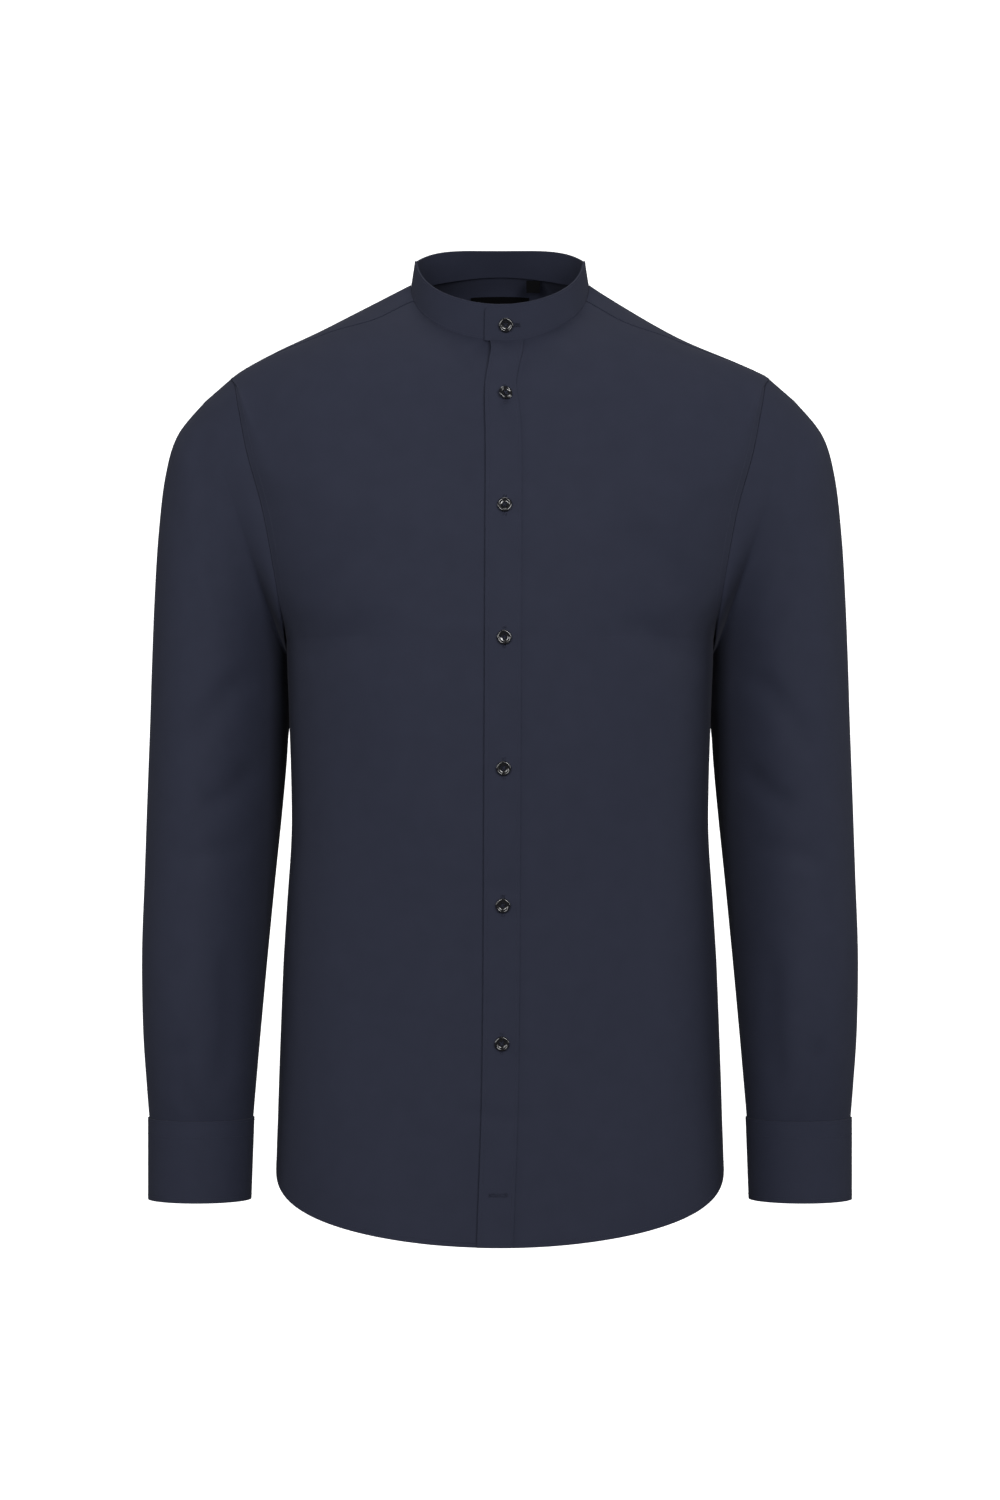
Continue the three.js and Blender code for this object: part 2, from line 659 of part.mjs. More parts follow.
add("front_left", frontLeft(), shirtCloth());
add("front_right", frontRight(), shirtCloth());
add("front_placket", placket(), shirtCloth());
add("back", back(), shirtCloth());
add("yoke", yoke(), shirtCloth());
add("collar_band", collarBand(), shirtCloth());
const sleeveShape = sleeveWall();
const cuffShape = cuff();
const sleevePlacketShape = sleevePlacket();
add("sleeve_left", sleeveShape, shirtCloth());
add("sleeve_right", mirrored(sleeveShape), shirtCloth());
add("cuff_left", cuffShape, shirtCloth());
add("cuff_right", mirrored(cuffShape), shirtCloth());
add("sleeve_placket_left", sleevePlacketShape, shirtCloth());
add("sleeve_placket_right", mirrored(sleevePlacketShape), shirtCloth());
add("neck_label", neckLabel(), labelCloth());
add("size_tab", sizeTab(), labelCloth());
shirt.add(collarButton());
for (let number = 0; number < BUTTON_HEIGHTS.length; number += 1) shirt.add(frontButton(number));
shirt.add(cuffButton("cuff_button_left", 1));
shirt.add(cuffButton("cuff_button_right", -1));

export default shirt;
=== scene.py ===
"""A mandarin collar shirt in its worn, hollow form, seen from the front in a white studio."""

import math

import bmesh
import bpy
import numpy as np
from mathutils import Matrix, Vector


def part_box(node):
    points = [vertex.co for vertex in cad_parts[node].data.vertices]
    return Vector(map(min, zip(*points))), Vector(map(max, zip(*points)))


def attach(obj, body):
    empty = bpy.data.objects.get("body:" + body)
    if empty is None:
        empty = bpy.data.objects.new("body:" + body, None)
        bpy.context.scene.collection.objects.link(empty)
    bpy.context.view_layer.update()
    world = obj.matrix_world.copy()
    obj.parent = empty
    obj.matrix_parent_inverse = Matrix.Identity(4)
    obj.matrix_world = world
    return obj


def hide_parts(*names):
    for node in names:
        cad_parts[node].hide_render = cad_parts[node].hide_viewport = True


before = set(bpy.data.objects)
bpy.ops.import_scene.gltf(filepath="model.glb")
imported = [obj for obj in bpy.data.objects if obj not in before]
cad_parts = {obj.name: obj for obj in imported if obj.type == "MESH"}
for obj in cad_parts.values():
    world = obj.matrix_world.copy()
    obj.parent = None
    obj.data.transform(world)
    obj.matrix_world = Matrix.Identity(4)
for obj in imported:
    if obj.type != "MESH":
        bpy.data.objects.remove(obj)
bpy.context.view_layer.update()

MM = 0.001

# Cloth, in millimetres
CLOTH = 0.55
BAND_CLOTH = 1.5
SEAM_GAP = 0.15
LAP_DEPTH = 1.6
SEAM_RIDGE = 0.45
STITCH_PITCH = 2.2
STITCH_LENGTH = 1.55
THREAD = 0.3
STITCH_LIFT = 0.12
HEM_STITCH_GAP = 4
YOKE_STITCH_GAP = 2
SIDE_STITCH_GAPS = (1.6, 7)
ARMHOLE_STITCH_GAPS = (1.6, 8)

# Front closing
PLACKET_WIDTH = 28
PLACKET_TOP = 2.2
PLACKET_LIFT = 1.1
PLACKET_CLOTH = 0.7
PLACKET_STITCH_INSET = 2.6
UNDER_LAP_BLEND = 40
NECK_LAP_BLEND = 6
BUTTON_HEIGHTS = (-85, -173, -275, -376, -482, -589)
EMPTY_BUTTONHOLE = -706
EMPTY_BUTTONHOLE_LENGTH = 13
BUTTONHOLE_LENGTH = 15
LIP_THREADS = 34
BUTTONS_ASIDE = 0.8

# Collar band
BAND_OVER_END = -11.5
BAND_UNDER_END = 13
BAND_CORNER = 7
BAND_LAP_ANGLE = 70
BAND_LAP = 2.1
BAND_TUCK = 1.2
COLLAR_BUTTON_X = 4.4
COLLAR_BUTTON_HEIGHT = 0.41
RIM = {"half": 68, "front": 66, "back": 52, "side_z": 29, "front_z": -12, "back_z": 43.2, "back_power": 4.2}

# Sleeves and cuffs
SLEEVE_END = -655
CUFF_GROW = 0.9
CUFF_LENGTH = 65
CUFF_CLOTH = 1.5
CUFF_LAP = 22
CUFF_LAP_ANGLE = 60
CUFF_OPENING = 286.5
SLEEVE_PLACKET_RINGS = 2.7
SLEEVE_PLACKET_HALF_TURN = 13

# Buttons; the profile's columns are radius and height, as shares of the button's
BUTTON_RADIUS = 5.7
BUTTON_THICKNESS = 2.5
BUTTON_LIFT = 1.75
HOLE_RADIUS = 0.75
HOLE_FROM_MIDDLE = 1.35
BUTTON_PROFILE = [
    (0, 0),
    (0.78, 0),
    (0.92, 0.12),
    (0.995, 0.42),
    (0.99, 0.66),
    (0.95, 0.86),
    (0.88, 0.97),
    (0.81, 1.0),
    (0.74, 0.95),
    (0.67, 0.8),
    (0.6, 0.64),
    (0.5, 0.58),
    (0.3, 0.56),
    (0, 0.56),
]

# Labels inside the neck
LABEL_CLOTH = 0.5
LABEL_HALF_WIDTH = 24
LABEL_ROWS = (1, 2.5)
LABEL_LIFT = -1.4

# Camera, in metres
CAMERA_DISTANCE = 3.5
CAMERA_HEIGHT = -0.362
PICTURE_HEIGHT = 1.2

# Torso
RING_POWER = 2.25
LEFT_SHOULDER_DROP = 6
HEAD_TURN = 6
HEM = {"side": -693, "front": -747, "back": -762, "power": 0.92}
TIP = 4
BACK_YOKE_SEAM = 6
FOLD_PASSES = 120
NECK_SEAM_ROUNDING = 0.01
RIM_ROUNDING = 0.05


def table(names, rows):
    """A table's columns as arrays, by name."""
    return dict(zip(names.split(), np.array(rows, float).T))


SHOULDER_RINGS = table(
    "half front back side_z front_z back_z yoke armhole_front armhole_back",
    [
        (71, 62, 68, 9.6, -39.4, 25, 71, 90, 90),
        (107, 79, 84, -9, -60, 10, 65, 90, 90),
        (144, 92, 98, -28, -84, -12, 74, 90, 90),
        (180, 101, 108, -45, -108, -36, 81, 90, 90),
        (212, 107.5, 112.8, -63, -128, -58, 90, 90, 90),
        (214.5, 110.2, 114.3, -68.5, -138, -70, 90, 76, 104),
        (219, 113.5, 116, -84, -151, -86, 90, 67, 112.5),
        (220, 119, 118.5, -119, -173, -120, 90, 61, 118),
        (210, 124, 119, -160, -197, -160, 90, 60, 119),
        (200, 126, 118, -202, -224, -202, 90, 61, 118),
        (187, 128, 117, -238, -249, -238, 90, 66, 113),
        (174.5, 129, 116, -262, -266, -262, 90, 76, 103),
        (170.5, 129, 115, -274, -274, -274, 90, 90, 90),
    ],
)
UNDERARM = len(SHOULDER_RINGS["half"]) - 1
BODY_ROWS = 15
LAST_ROW = UNDERARM + BODY_ROWS

BODY_SECTIONS = table(
    "z half front back",
    [
        (-274, 170.5, 129, 115),
        (-333, 168.5, 128, 109),
        (-400, 166.6, 125, 105),
        (-434, 166.8, 123, 104),
        (-482, 170, 120, 105),
        (-530, 173, 118, 108),
        (-594, 175.5, 117, 113),
        (-658, 177.6, 118, 117),
        (-700, 179, 119, 119),
        (-770, 180, 121, 121),
    ],
)

# How far the placket's two edges wander near the neck, and how far its free edge lifts.
PLACKET_RIPPLE = table(
    "z left right lift",
    [
        (-20, 2.0, 1.2, 0.0),
        (-38, 2.4, 1.3, 0.3),
        (-48, 3.8, 1.0, 2.2),
        (-61, 1.8, -2.0, 0.9),
        (-75, -0.5, -4.4, 0.0),
        (-92, -0.8, -2.4, 0.7),
        (-112, -0.3, -0.6, 0.2),
        (-150, 0, 0, 0),
        (-800, 0, 0, 0),
    ],
)
PLACKET_LINE = table("z x", [(-30, 3.2), (-170, 2.8), (-545, 1.2), (-640, -0.2), (-760, -4)])

SLEEVE_RINGS = table(
    "outer_x outer_z inner_x inner_z y depth",
    [
        (236, -83, 172.5, -287, 4, 66),
        (258, -110, 171.8, -298, 5, 66),
        (268, -143, 171.3, -309, 6, 67),
        (273.5, -190, 171, -321, 6, 68),
        (276.5, -240, 170.9, -334, 5, 68),
        (278.5, -292, 171.2, -350, 4, 67),
        (280, -342, 172.4, -372, 3, 66),
        (282, -400, 175.8, -412, 1, 64),
        (284, -462, 181, -466, -1, 62),
        (286, -525, 186.5, -527, -3, 60),
        (285, -585, 191.5, -586, -4, 56),
        (282, -630, 195, -630, -5, 49),
        (280, SLEEVE_END, 197, SLEEVE_END, -5, 43),
    ],
)
SLEEVE_LAST = len(SLEEVE_RINGS["y"])
# The sleeves' inner sides lie behind the body's edge, in its shade, and close to it.
INNER_SET_BACK = 34
INNER_CLOSER = 2.3
CUFF_RINGS = table("x y half depth", [(238.6, -5, 41.6, 43), (239.8, -5, 40.4, 41.5)])


def ease(t):
    """0 below 0, 1 above 1, and smooth between."""
    t = np.clip(t, 0, 1)
    return t * t * (3 - 2 * t)


def column(columns, name, row, first=0, last=None):
    """A table's column at row numbers that need not be whole, smoothly."""
    values = columns[name][first : None if last is None else last + 1]
    top = len(values) - 1
    row = np.clip(np.asarray(row, float) - first, 0, top)
    i = np.clip(np.floor(row).astype(int), 0, top - 1)
    t = row - i
    a, b, c, d = (values[np.clip(i + k, 0, top)] for k in (-1, 0, 1, 2))
    before, after = (c - a) / 2, (d - b) / 2
    t2, t3 = t * t, t * t * t
    return b * (2 * t3 - 3 * t2 + 1) + before * (t3 - 2 * t2 + t) + c * (3 * t2 - 2 * t3) + after * (t3 - t2)


def column_at_height(columns, name, z):
    """A table's column at a height, where its rows run from the top down."""
    heights = columns["z"]
    row = np.interp(-np.asarray(z, float), -heights, np.arange(len(heights)))
    return column(columns, name, row)


def section_point(angle, half, front, back):
    """x and y of a rounded section, by its angle from the middle of the front to the left."""
    s, c = np.sin(np.radians(angle)), np.cos(np.radians(angle))
    size = (np.abs(s) ** RING_POWER + np.abs(c) ** RING_POWER) ** (1 / RING_POWER)
    return half * s / size, -np.where(c > 0, front, back) * c / size


def angle_at_x(x, half):
    """The angle at which a section reaches x on its front."""
    q = np.clip(np.abs(x) / half, 0, 0.999) ** RING_POWER
    return np.sign(x) * np.degrees(np.arctan((q / (1 - q)) ** (1 / RING_POWER)))


def steep_fall(c, rounding):
    """How much of its fall a neck line has made at the cosine of its angle, fast beside the shoulders."""
    return (1 + rounding) * c**3 / (c * c + rounding)


def lean(row, c):
    """How far a shoulder ring has leant at an angle; only the rings next to the neck fall fast."""
    near_neck = np.where(c > 0, np.maximum(1 - row / 2, 0) ** 2, 0)
    return c * c + (steep_fall(c, NECK_SEAM_ROUNDING) - c * c) * near_neck


def torso(row, angle):
    """The torso's outer surface: shoulder rings down to the underarm, then sections down to the hem."""
    row, angle = np.broadcast_arrays(np.asarray(row, float), np.asarray(angle, float))
    c = np.cos(np.radians(angle))
    upper = {name: column(SHOULDER_RINGS, name, row) for name in SHOULDER_RINGS}
    end_z = np.where(c > 0, upper["front_z"], upper["back_z"])
    upper_z = upper["side_z"] + (end_z - upper["side_z"]) * lean(row, c)
    along = np.sin(math.pi * np.clip(row / TIP, 0, 1))
    upper_z = upper_z - LEFT_SHOULDER_DROP * along * np.maximum(np.sin(np.radians(angle)), 0) ** 5
    hem = HEM["side"] + (np.where(c > 0, HEM["front"], HEM["back"]) - HEM["side"]) * np.abs(c) ** HEM["power"]
    top = SHOULDER_RINGS["side_z"][-1]
    lower_z = top + (hem - top) * (row - UNDERARM) / BODY_ROWS
    is_upper = row <= UNDERARM
    z = np.where(is_upper, upper_z, lower_z)
    half, front, back = (
        np.where(is_upper, upper[name], column_at_height(BODY_SECTIONS, name, lower_z))
        for name in ("half", "front", "back")
    )
    x, y = section_point(angle, half, front, back)
    return np.stack([x, y, z], -1)


def unit(v):
    return v / np.maximum(np.linalg.norm(v, axis=-1, keepdims=True), 1e-9)


def normals(surface, u, v, du=0.03, dv=0.3):
    """Outward directions of surface(u, v) where du x dv points out."""
    along_u = surface(u + du, v) - surface(u - du, v)
    along_v = surface(u, v + dv) - surface(u, v - dv)
    return unit(np.cross(along_u, along_v))


def torso_normal(row, angle):
    return normals(torso, np.clip(row, 0.04, LAST_ROW - 0.04), angle)


def torso_at(row, angle, lift=0.0):
    """Points moved out of the torso's surface, and their outward directions."""
    out = torso_normal(row, angle)
    return torso(row, angle) + out * np.asarray(lift, float)[..., None], out


def half_at(row):
    return np.where(
        np.asarray(row) <= UNDERARM,
        column(SHOULDER_RINGS, "half", row),
        column_at_height(BODY_SECTIONS, "half", torso(row, 0)[..., 2]),
    )


def row_at_front_height(z):
    rows = np.linspace(0, LAST_ROW, 1500)
    return np.interp(-np.asarray(z, float), -torso(rows, 0)[:, 2], rows)


def placket_middle(row):
    return column_at_height(PLACKET_LINE, "x", torso(row, 0)[..., 2])


def ripple(row, name):
    return column_at_height(PLACKET_RIPPLE, name, torso(row, 0)[..., 2])


def placket_x(row, side, inset=0.0):
    """x of a line beside the placket's left (-1) or right (1) edge, which ripples near the neck."""
    wander = ripple(row, "left") if side < 0 else ripple(row, "right")
    return placket_middle(row) + side * (PLACKET_WIDTH / 2 - inset) + wander


def free_edge_lift(row, angle):
    """The free edge of the front that lies over stands off a little near the neck."""
    x = torso(row, angle)[..., 0]
    return ripple(row, "lift") * ease(1 - (x - placket_x(row, -1)) / 16)


def angle_on_row(row, x):
    return angle_at_x(x, half_at(row))


def front_edge(row):
    """The angle where the fronts end at the side: yoke seam, armhole or side seam."""
    row = np.asarray(row, float)
    yoke = column(SHOULDER_RINGS, "yoke", row, 0, TIP)
    return np.where(row <= TIP, yoke, armhole_angle(row, "armhole_front"))


def armhole_angle(row, name):
    row = np.asarray(row, float)
    return np.where(row >= UNDERARM, 90, column(SHOULDER_RINGS, name, row, TIP))


def back_edge(row):
    row = np.asarray(row, float)
    return np.where(row <= TIP, front_edge(row), armhole_angle(row, "armhole_back"))


def angle_step(row, angle, length):
    speed = np.linalg.norm(torso(row, angle + 0.5) - torso(row, angle - 0.5), axis=-1)
    return length / speed


def row_step(row, angle, length):
    speed = np.linalg.norm(torso(row + 0.1, angle) - torso(row, angle), axis=-1) / 0.1
    return length / speed


# Creases. Each is a soft trough (depth above 0) or ridge (below 0) along a bent line in a front or
# back view, in millimetres: its two ends, how far its middle is bent aside, its width and depth.


def crease_depth(x, z, creases):
    """How far the cloth lies in at points of a front or back view."""
    depth = np.zeros_like(x)
    for x0, z0, x1, z1, bend, width, deep in creases:
        along = np.array([x1 - x0, z1 - z0], float)
        length = np.linalg.norm(along)
        along /= length
        across = np.array([-along[1], along[0]])
        t = ((x - x0) * along[0] + (z - z0) * along[1]) / length
        d = (x - x0) * across[0] + (z - z0) * across[1] - bend * 4 * t * (1 - t)
        fade = ease((t + 0.12) / 0.35) * ease((1.12 - t) / 0.45)
        depth += deep * fade * np.exp(-((d / width) ** 2))
    return depth


FRONT_CREASES = [
    (-150, -255, -70, -190, 8, 15, 2.2),
    (-158, -290, -95, -262, -5, 12, 1.6),
    (152, -250, 82, -186, -7, 15, 2.0),
    (160, -292, 100, -258, 6, 11, 1.8),
    (-118, -330, -104, -690, 10, 26, 2.6),
    (-62, -420, -70, -735, -8, 24, 2.0),
    (64, -400, 72, -735, 9, 26, 2.2),
    (122, -340, 112, -680, -9, 24, 2.6),
    (-92, -120, -60, -178, 4, 16, 1.4),
    (96, -126, 66, -186, -4, 15, 1.4),
    (12, -84, 35, -42, 2, 5, 1.3),
    (-19, -66, -34, -50, -2, 5, 0.8),
    (-40, -470, 44, -474, 3, 8, 0.5),
    (-34, -642, 40, -646, -3, 7, 0.6),
]
BACK_CREASES = [
    (-60, -140, -74, -640, 12, 22, 3.0),
    (58, -150, 70, -610, -10, 24, 2.7),
    (-120, -300, -112, -700, 8, 26, 2.4),
    (118, -310, 108, -690, -9, 24, 2.6),
    (-4, -300, 6, -720, 7, 30, 1.8),
    (-150, -262, -84, -196, -8, 14, 2.4),
    (152, -258, 88, -200, 7, 15, 2.2),
    (-100, -392, 20, -408, 6, 12, 1.6),
    (-10, -446, 96, -430, -6, 13, 1.4),
]


def torso_creased(row, angle, lift):
    """Torso points with the listed creases pressed in."""
    points, out = torso_at(row, angle, lift)
    x, z = points[..., 0], points[..., 2]
    front = points[..., 1] < 0
    depth = np.where(front, crease_depth(x, z, FRONT_CREASES), crease_depth(x, z, BACK_CREASES))
    side = ease((np.abs(points[..., 1]) - 4) / 30)
    return points - out * (depth * side)[..., None], out


def make_mesh(name, points, faces, uv=None, smooth=True):
    """A mesh object from points in millimetres."""
    mesh = bpy.data.meshes.new(name)
    mesh.from_pydata([tuple(p) for p in np.asarray(points) * MM], [], faces)
    if uv is not None:
        layer = mesh.uv_layers.new(name="cloth")
        loops = np.empty(len(mesh.loops), int)
        mesh.loops.foreach_get("vertex_index", loops)
        layer.data.foreach_set("uv", (np.asarray(uv) * MM)[loops].ravel())
    if smooth:
        mesh.polygons.foreach_set("use_smooth", [True] * len(mesh.polygons))
    mesh.update()
    obj = bpy.data.objects.new(name, mesh)
    bpy.context.collection.objects.link(obj)
    return obj


def grid_lengths(points):
    """Lengths across and down a grid of points, as the cloth's own coordinates."""
    across = np.zeros(points.shape[:2])
    across[:, 1:] = np.cumsum(np.linalg.norm(np.diff(points, axis=1), axis=-1), axis=1)
    down = np.zeros(points.shape[:2])
    down[1:] = np.cumsum(np.linalg.norm(np.diff(points, axis=0), axis=-1), axis=0)
    middle = across - across[:, [across.shape[1] // 2]]
    return np.stack([middle, down.mean(axis=1, keepdims=True) + 0 * down], -1)


def grid_out(points, closed):
    """The outward direction at each point of a grid."""
    down = np.gradient(points, axis=0)
    if closed:
        across = np.roll(points, -1, axis=1) - np.roll(points, 1, axis=1)
    else:
        across = np.gradient(points, axis=1)
    return unit(np.cross(down, across))


def cloth(name, points, thickness, closed=False):
    """A thin shell of cloth on a grid of points; rows run down and columns run round."""
    rows, columns = points.shape[:2]
    number = np.arange(rows * columns).reshape(rows, columns)
    number = np.concatenate([number, number[:, :1]], axis=1) if closed else number
    inside = rows * columns
    a, b = number[:, :-1], number[:, 1:]
    outer = np.stack([a[:-1], a[1:], b[1:], b[:-1]], -1).reshape(-1, 4)
    rims = [
        np.stack([a[0], b[0], b[0] + inside, a[0] + inside], -1),
        np.stack([b[-1], a[-1], a[-1] + inside, b[-1] + inside], -1),
    ]
    if not closed:
        top, low = number[:-1], number[1:]
        rims.append(np.stack([low[:, 0], top[:, 0], top[:, 0] + inside, low[:, 0] + inside], -1))
        rims.append(np.stack([top[:, -1], low[:, -1], low[:, -1] + inside, top[:, -1] + inside], -1))
    faces = np.concatenate([outer, outer[:, ::-1] + inside, *rims])
    both = np.stack([points, points - grid_out(points, closed) * thickness])
    uv = np.stack([grid_lengths(points)] * 2)
    obj = make_mesh(name, both.reshape(-1, 3), faces.tolist(), uv.reshape(-1, 2))
    obj.data.set_sharp_from_angle(angle=math.radians(50))
    return obj


def soften_fold(points, row, angle):
    """Rounds the fold that would run in across the chest from each shoulder tip."""
    inside = ease((front_edge(row) - np.abs(angle) - 3) / 14) * ease((np.abs(angle) - 18) / 16)
    weight = 0.45 * (inside * ease(row - 2.4) * ease((7.4 - row) / 1.6))[1:-1, :, None]
    for _ in range(FOLD_PASSES):
        points[1:-1] += weight * (points[:-2] + points[2:] - 2 * points[1:-1])
    return points


def torso_panel(name, rows, start, end, columns, lift, thickness=CLOTH, is_front=False):
    """A panel of the torso between two edge angles on each row."""
    row = rows[:, None]
    first, last = start(rows)[:, None], end(rows)[:, None]
    angle = first + (last - first) * np.linspace(0, 1, columns + 1)[None, :]
    row = np.broadcast_to(row, angle.shape)
    points, _ = torso_creased(row, angle, lift(row, angle))
    if is_front:
        points = soften_fold(points, row, angle)
    return cloth(name, points, thickness)


NECK_ROW = float(row_step(0.0, 0.0, SEAM_GAP))


def placket_edge(side):
    """A function that gives the angle of one edge of the placket on each row."""
    return lambda row: angle_on_row(row, placket_x(row, side))


def beside(edge, gap):
    """A function that gives the angle a gap away from an edge on each row."""
    return lambda row: edge(row) + angle_step(row, edge(row), gap)


def mirrored(edge, turn=0):
    """A function that gives the angle of the same edge on the other side."""
    return lambda row: turn - edge(row)


def front_left():
    start = placket_edge(-1)
    end = beside(front_edge, -SEAM_GAP)
    rows = np.linspace(NECK_ROW, LAST_ROW, 190)
    return torso_panel("front_left_cloth", rows, start, end, 84, free_edge_lift, is_front=True)


def no_lift(row, angle):
    return np.zeros_like(angle)


def ridge_lift(row, angle):
    return np.full_like(angle, SEAM_RIDGE)


def front_right():
    start = mirrored(beside(front_edge, -SEAM_GAP))

    def end(row):
        return angle_on_row(row, placket_middle(row) + PLACKET_WIDTH / 2 - 2)

    def sink(row, angle):
        below_neck = ease((row - NECK_ROW) / 1.2)
        edge = placket_x(row, -1) - 1 - 2 * below_neck
        blend = NECK_LAP_BLEND + (UNDER_LAP_BLEND - NECK_LAP_BLEND) * below_neck
        x = torso(row, angle)[..., 0]
        return -LAP_DEPTH * ease(1 + (x - edge) / blend)

    rows = np.linspace(NECK_ROW, LAST_ROW, 190)
    return torso_panel("front_right_cloth", rows, start, end, 90, sink, is_front=True)


def front_placket():
    top = NECK_ROW + float(row_step(0.0, 0.0, PLACKET_TOP))
    rows = np.linspace(top, LAST_ROW - 0.01, 240)

    def lift(row, angle):
        return PLACKET_LIFT + free_edge_lift(row, angle)

    edges = (placket_edge(-1), placket_edge(1))
    return torso_panel("front_placket_cloth", rows, *edges, 14, lift, PLACKET_CLOTH)


def back():
    first = BACK_YOKE_SEAM + float(row_step(6.0, 180.0, SEAM_GAP))

    def start(row):
        return armhole_angle(row, "armhole_back") + angle_step(row, 100.0, SEAM_GAP)

    rows = np.linspace(first, LAST_ROW, 150)
    return torso_panel("back_cloth", rows, start, mirrored(start, 360), 150, no_lift)


def yoke():
    last = BACK_YOKE_SEAM - float(row_step(6.0, 180.0, SEAM_GAP))
    start = beside(back_edge, SEAM_GAP)
    rows = np.linspace(NECK_ROW, last, 60)
    return torso_panel("yoke_cloth", rows, start, mirrored(start, 360), 180, ridge_lift)


def band_surface(height, angle):
    """The collar band before its lap; height runs from 0 at the neck seam to 1 at the rim."""
    base = torso(np.zeros_like(angle), angle)
    x, y = section_point(angle, RIM["half"], RIM["front"], RIM["back"])
    c, s = np.cos(np.radians(angle)), np.abs(np.sin(np.radians(angle)))
    front_z = RIM["side_z"] + (RIM["front_z"] - RIM["side_z"]) * steep_fall(c, RIM_ROUNDING)
    back_z = RIM["back_z"] + (RIM["side_z"] - RIM["back_z"]) * s ** RIM["back_power"]
    rim = np.stack([x, y, np.where(c > 0, front_z, back_z)], -1)
    return base + (rim - base) * np.asarray(height)[..., None]


def band_at(height, angle, lift):
    height, angle = np.broadcast_arrays(np.asarray(height, float), np.asarray(angle, float))
    out = normals(lambda h, a: band_surface(-h, a), -height, angle, 0.01)
    lap = BAND_LAP * ease(1 - (angle - BAND_START) / BAND_LAP_ANGLE)
    return band_surface(height, angle) + out * (lap + lift)[..., None], out


BAND_START = float(angle_at_x(BAND_OVER_END, RIM["half"]))
BAND_END = 360 + float(angle_at_x(BAND_UNDER_END, RIM["half"]))
BAND_HEIGHT = float(np.linalg.norm(band_surface(1.0, 0.0) - band_surface(0.0, 0.0)))


def band_top(angle):
    """The height at which the band ends, rounded off at its two ends."""
    mm = np.minimum(angle - BAND_START, BAND_END - angle) * math.radians(1) * RIM["front"]
    inside = np.clip(BAND_CORNER - mm, 0, BAND_CORNER)
    return 1 - (BAND_CORNER - np.sqrt(np.maximum(BAND_CORNER**2 - inside**2, 0))) / BAND_HEIGHT


def collar_band():
    ends = BAND_CORNER / (math.radians(1) * RIM["front"])
    corner = ends * (1 - np.cos(np.linspace(0, math.pi / 2, 10)[:-1]))
    middle = np.linspace(BAND_START + ends, BAND_END - ends, 220)
    angles = np.concatenate([BAND_START + corner, middle, (BAND_END - corner)[::-1]])
    low = -BAND_TUCK / BAND_HEIGHT
    high = band_top(angles)[None, :]
    height = high + (low - high) * np.linspace(0, 1, 13)[:, None]
    points, _ = band_at(height, np.broadcast_to(angles[None, :], height.shape), np.zeros_like(height))
    return cloth("collar_band_cloth", points, BAND_CLOTH)


def armhole_curve(name):
    rows = np.linspace(TIP, UNDERARM, 400)
    points = torso(rows, armhole_angle(rows, name))
    length = np.concatenate([[0], np.cumsum(np.linalg.norm(np.diff(points, axis=0), axis=-1))])
    return length / length[-1], points


ARMHOLE = {name: armhole_curve(name) for name in ("armhole_front", "armhole_back")}


def armhole_point(turn):
    """The armhole seam on the left: 0 at the shoulder tip, 90 at the front, 180 at the underarm."""
    turn = np.mod(turn, 360)
    share = np.where(turn <= 180, turn, 360 - turn) / 180
    found = []
    for name in ("armhole_front", "armhole_back"):
        along, points = ARMHOLE[name]
        found.append(np.stack([np.interp(share, along, points[:, k]) for k in range(3)], -1))
    return np.where((turn <= 180)[..., None], found[0], found[1])


def sleeve(ring, turn):
    """The left sleeve's outer surface: ring 0 is the armhole and the last ring meets the cuff."""
    ring, turn = np.broadcast_arrays(np.asarray(ring, float), np.asarray(turn, float))
    at = {name: column(SLEEVE_RINGS, name, ring - 1) for name in SLEEVE_RINGS}
    evened = turn + HEAD_TURN * (1 - ease((ring - 1) / 5)) * np.sin(2 * np.radians(turn))
    c, s = np.cos(np.radians(evened)), np.sin(np.radians(evened))
    x = (at["outer_x"] + at["inner_x"]) / 2 + (at["outer_x"] - at["inner_x"]) / 2 * c
    z = (at["outer_z"] + at["inner_z"]) / 2 + (at["outer_z"] - at["inner_z"]) / 2 * c
    x = x - INNER_CLOSER * ease(2.5 * ring) * ease((6.4 - ring) / 2) * (1 - c) / 2
    beside_body = ease(ring / 1.6) * ease((13 - ring) / 6)
    y = at["y"] - at["depth"] * s + INNER_SET_BACK * beside_body * ((1 - c) / 2) ** 2
    tube = np.stack([x, y, z], -1)
    share = np.clip(ring, 0, 1)[..., None]
    return armhole_point(turn) * (1 - share) + tube * share


# Creases of the left sleeve in a front view and in a back view.
SLEEVE_FRONT_CREASES = [
    (236, -112, 214, -262, 6, 10, 2.4),
    (262, -150, 236, -330, -8, 13, 1.6),
    (196, -300, 246, -372, 6, 11, 2.4),
    (192, -372, 240, -412, -5, 10, 2.2),
    (200, -440, 254, -452, 4, 9, 1.4),
    (248, -420, 254, -560, 5, 15, 1.6),
    (214, -520, 222, -640, -4, 10, 1.8),
    (250, -590, 246, -652, 3, 8, 1.6),
]
SLEEVE_BACK_CREASES = [
    (238, -120, 220, -250, -6, 12, 2.4),
    (204, -300, 256, -360, -7, 12, 2.2),
    (262, -372, 208, -398, 5, 11, 2.6),
    (210, -430, 262, -446, 5, 10, 1.8),
    (236, -470, 244, -600, 6, 14, 2.0),
    (222, -560, 226, -652, 3, 7, 2.6),
    (254, -580, 250, -652, -3, 7, 2.4),
]


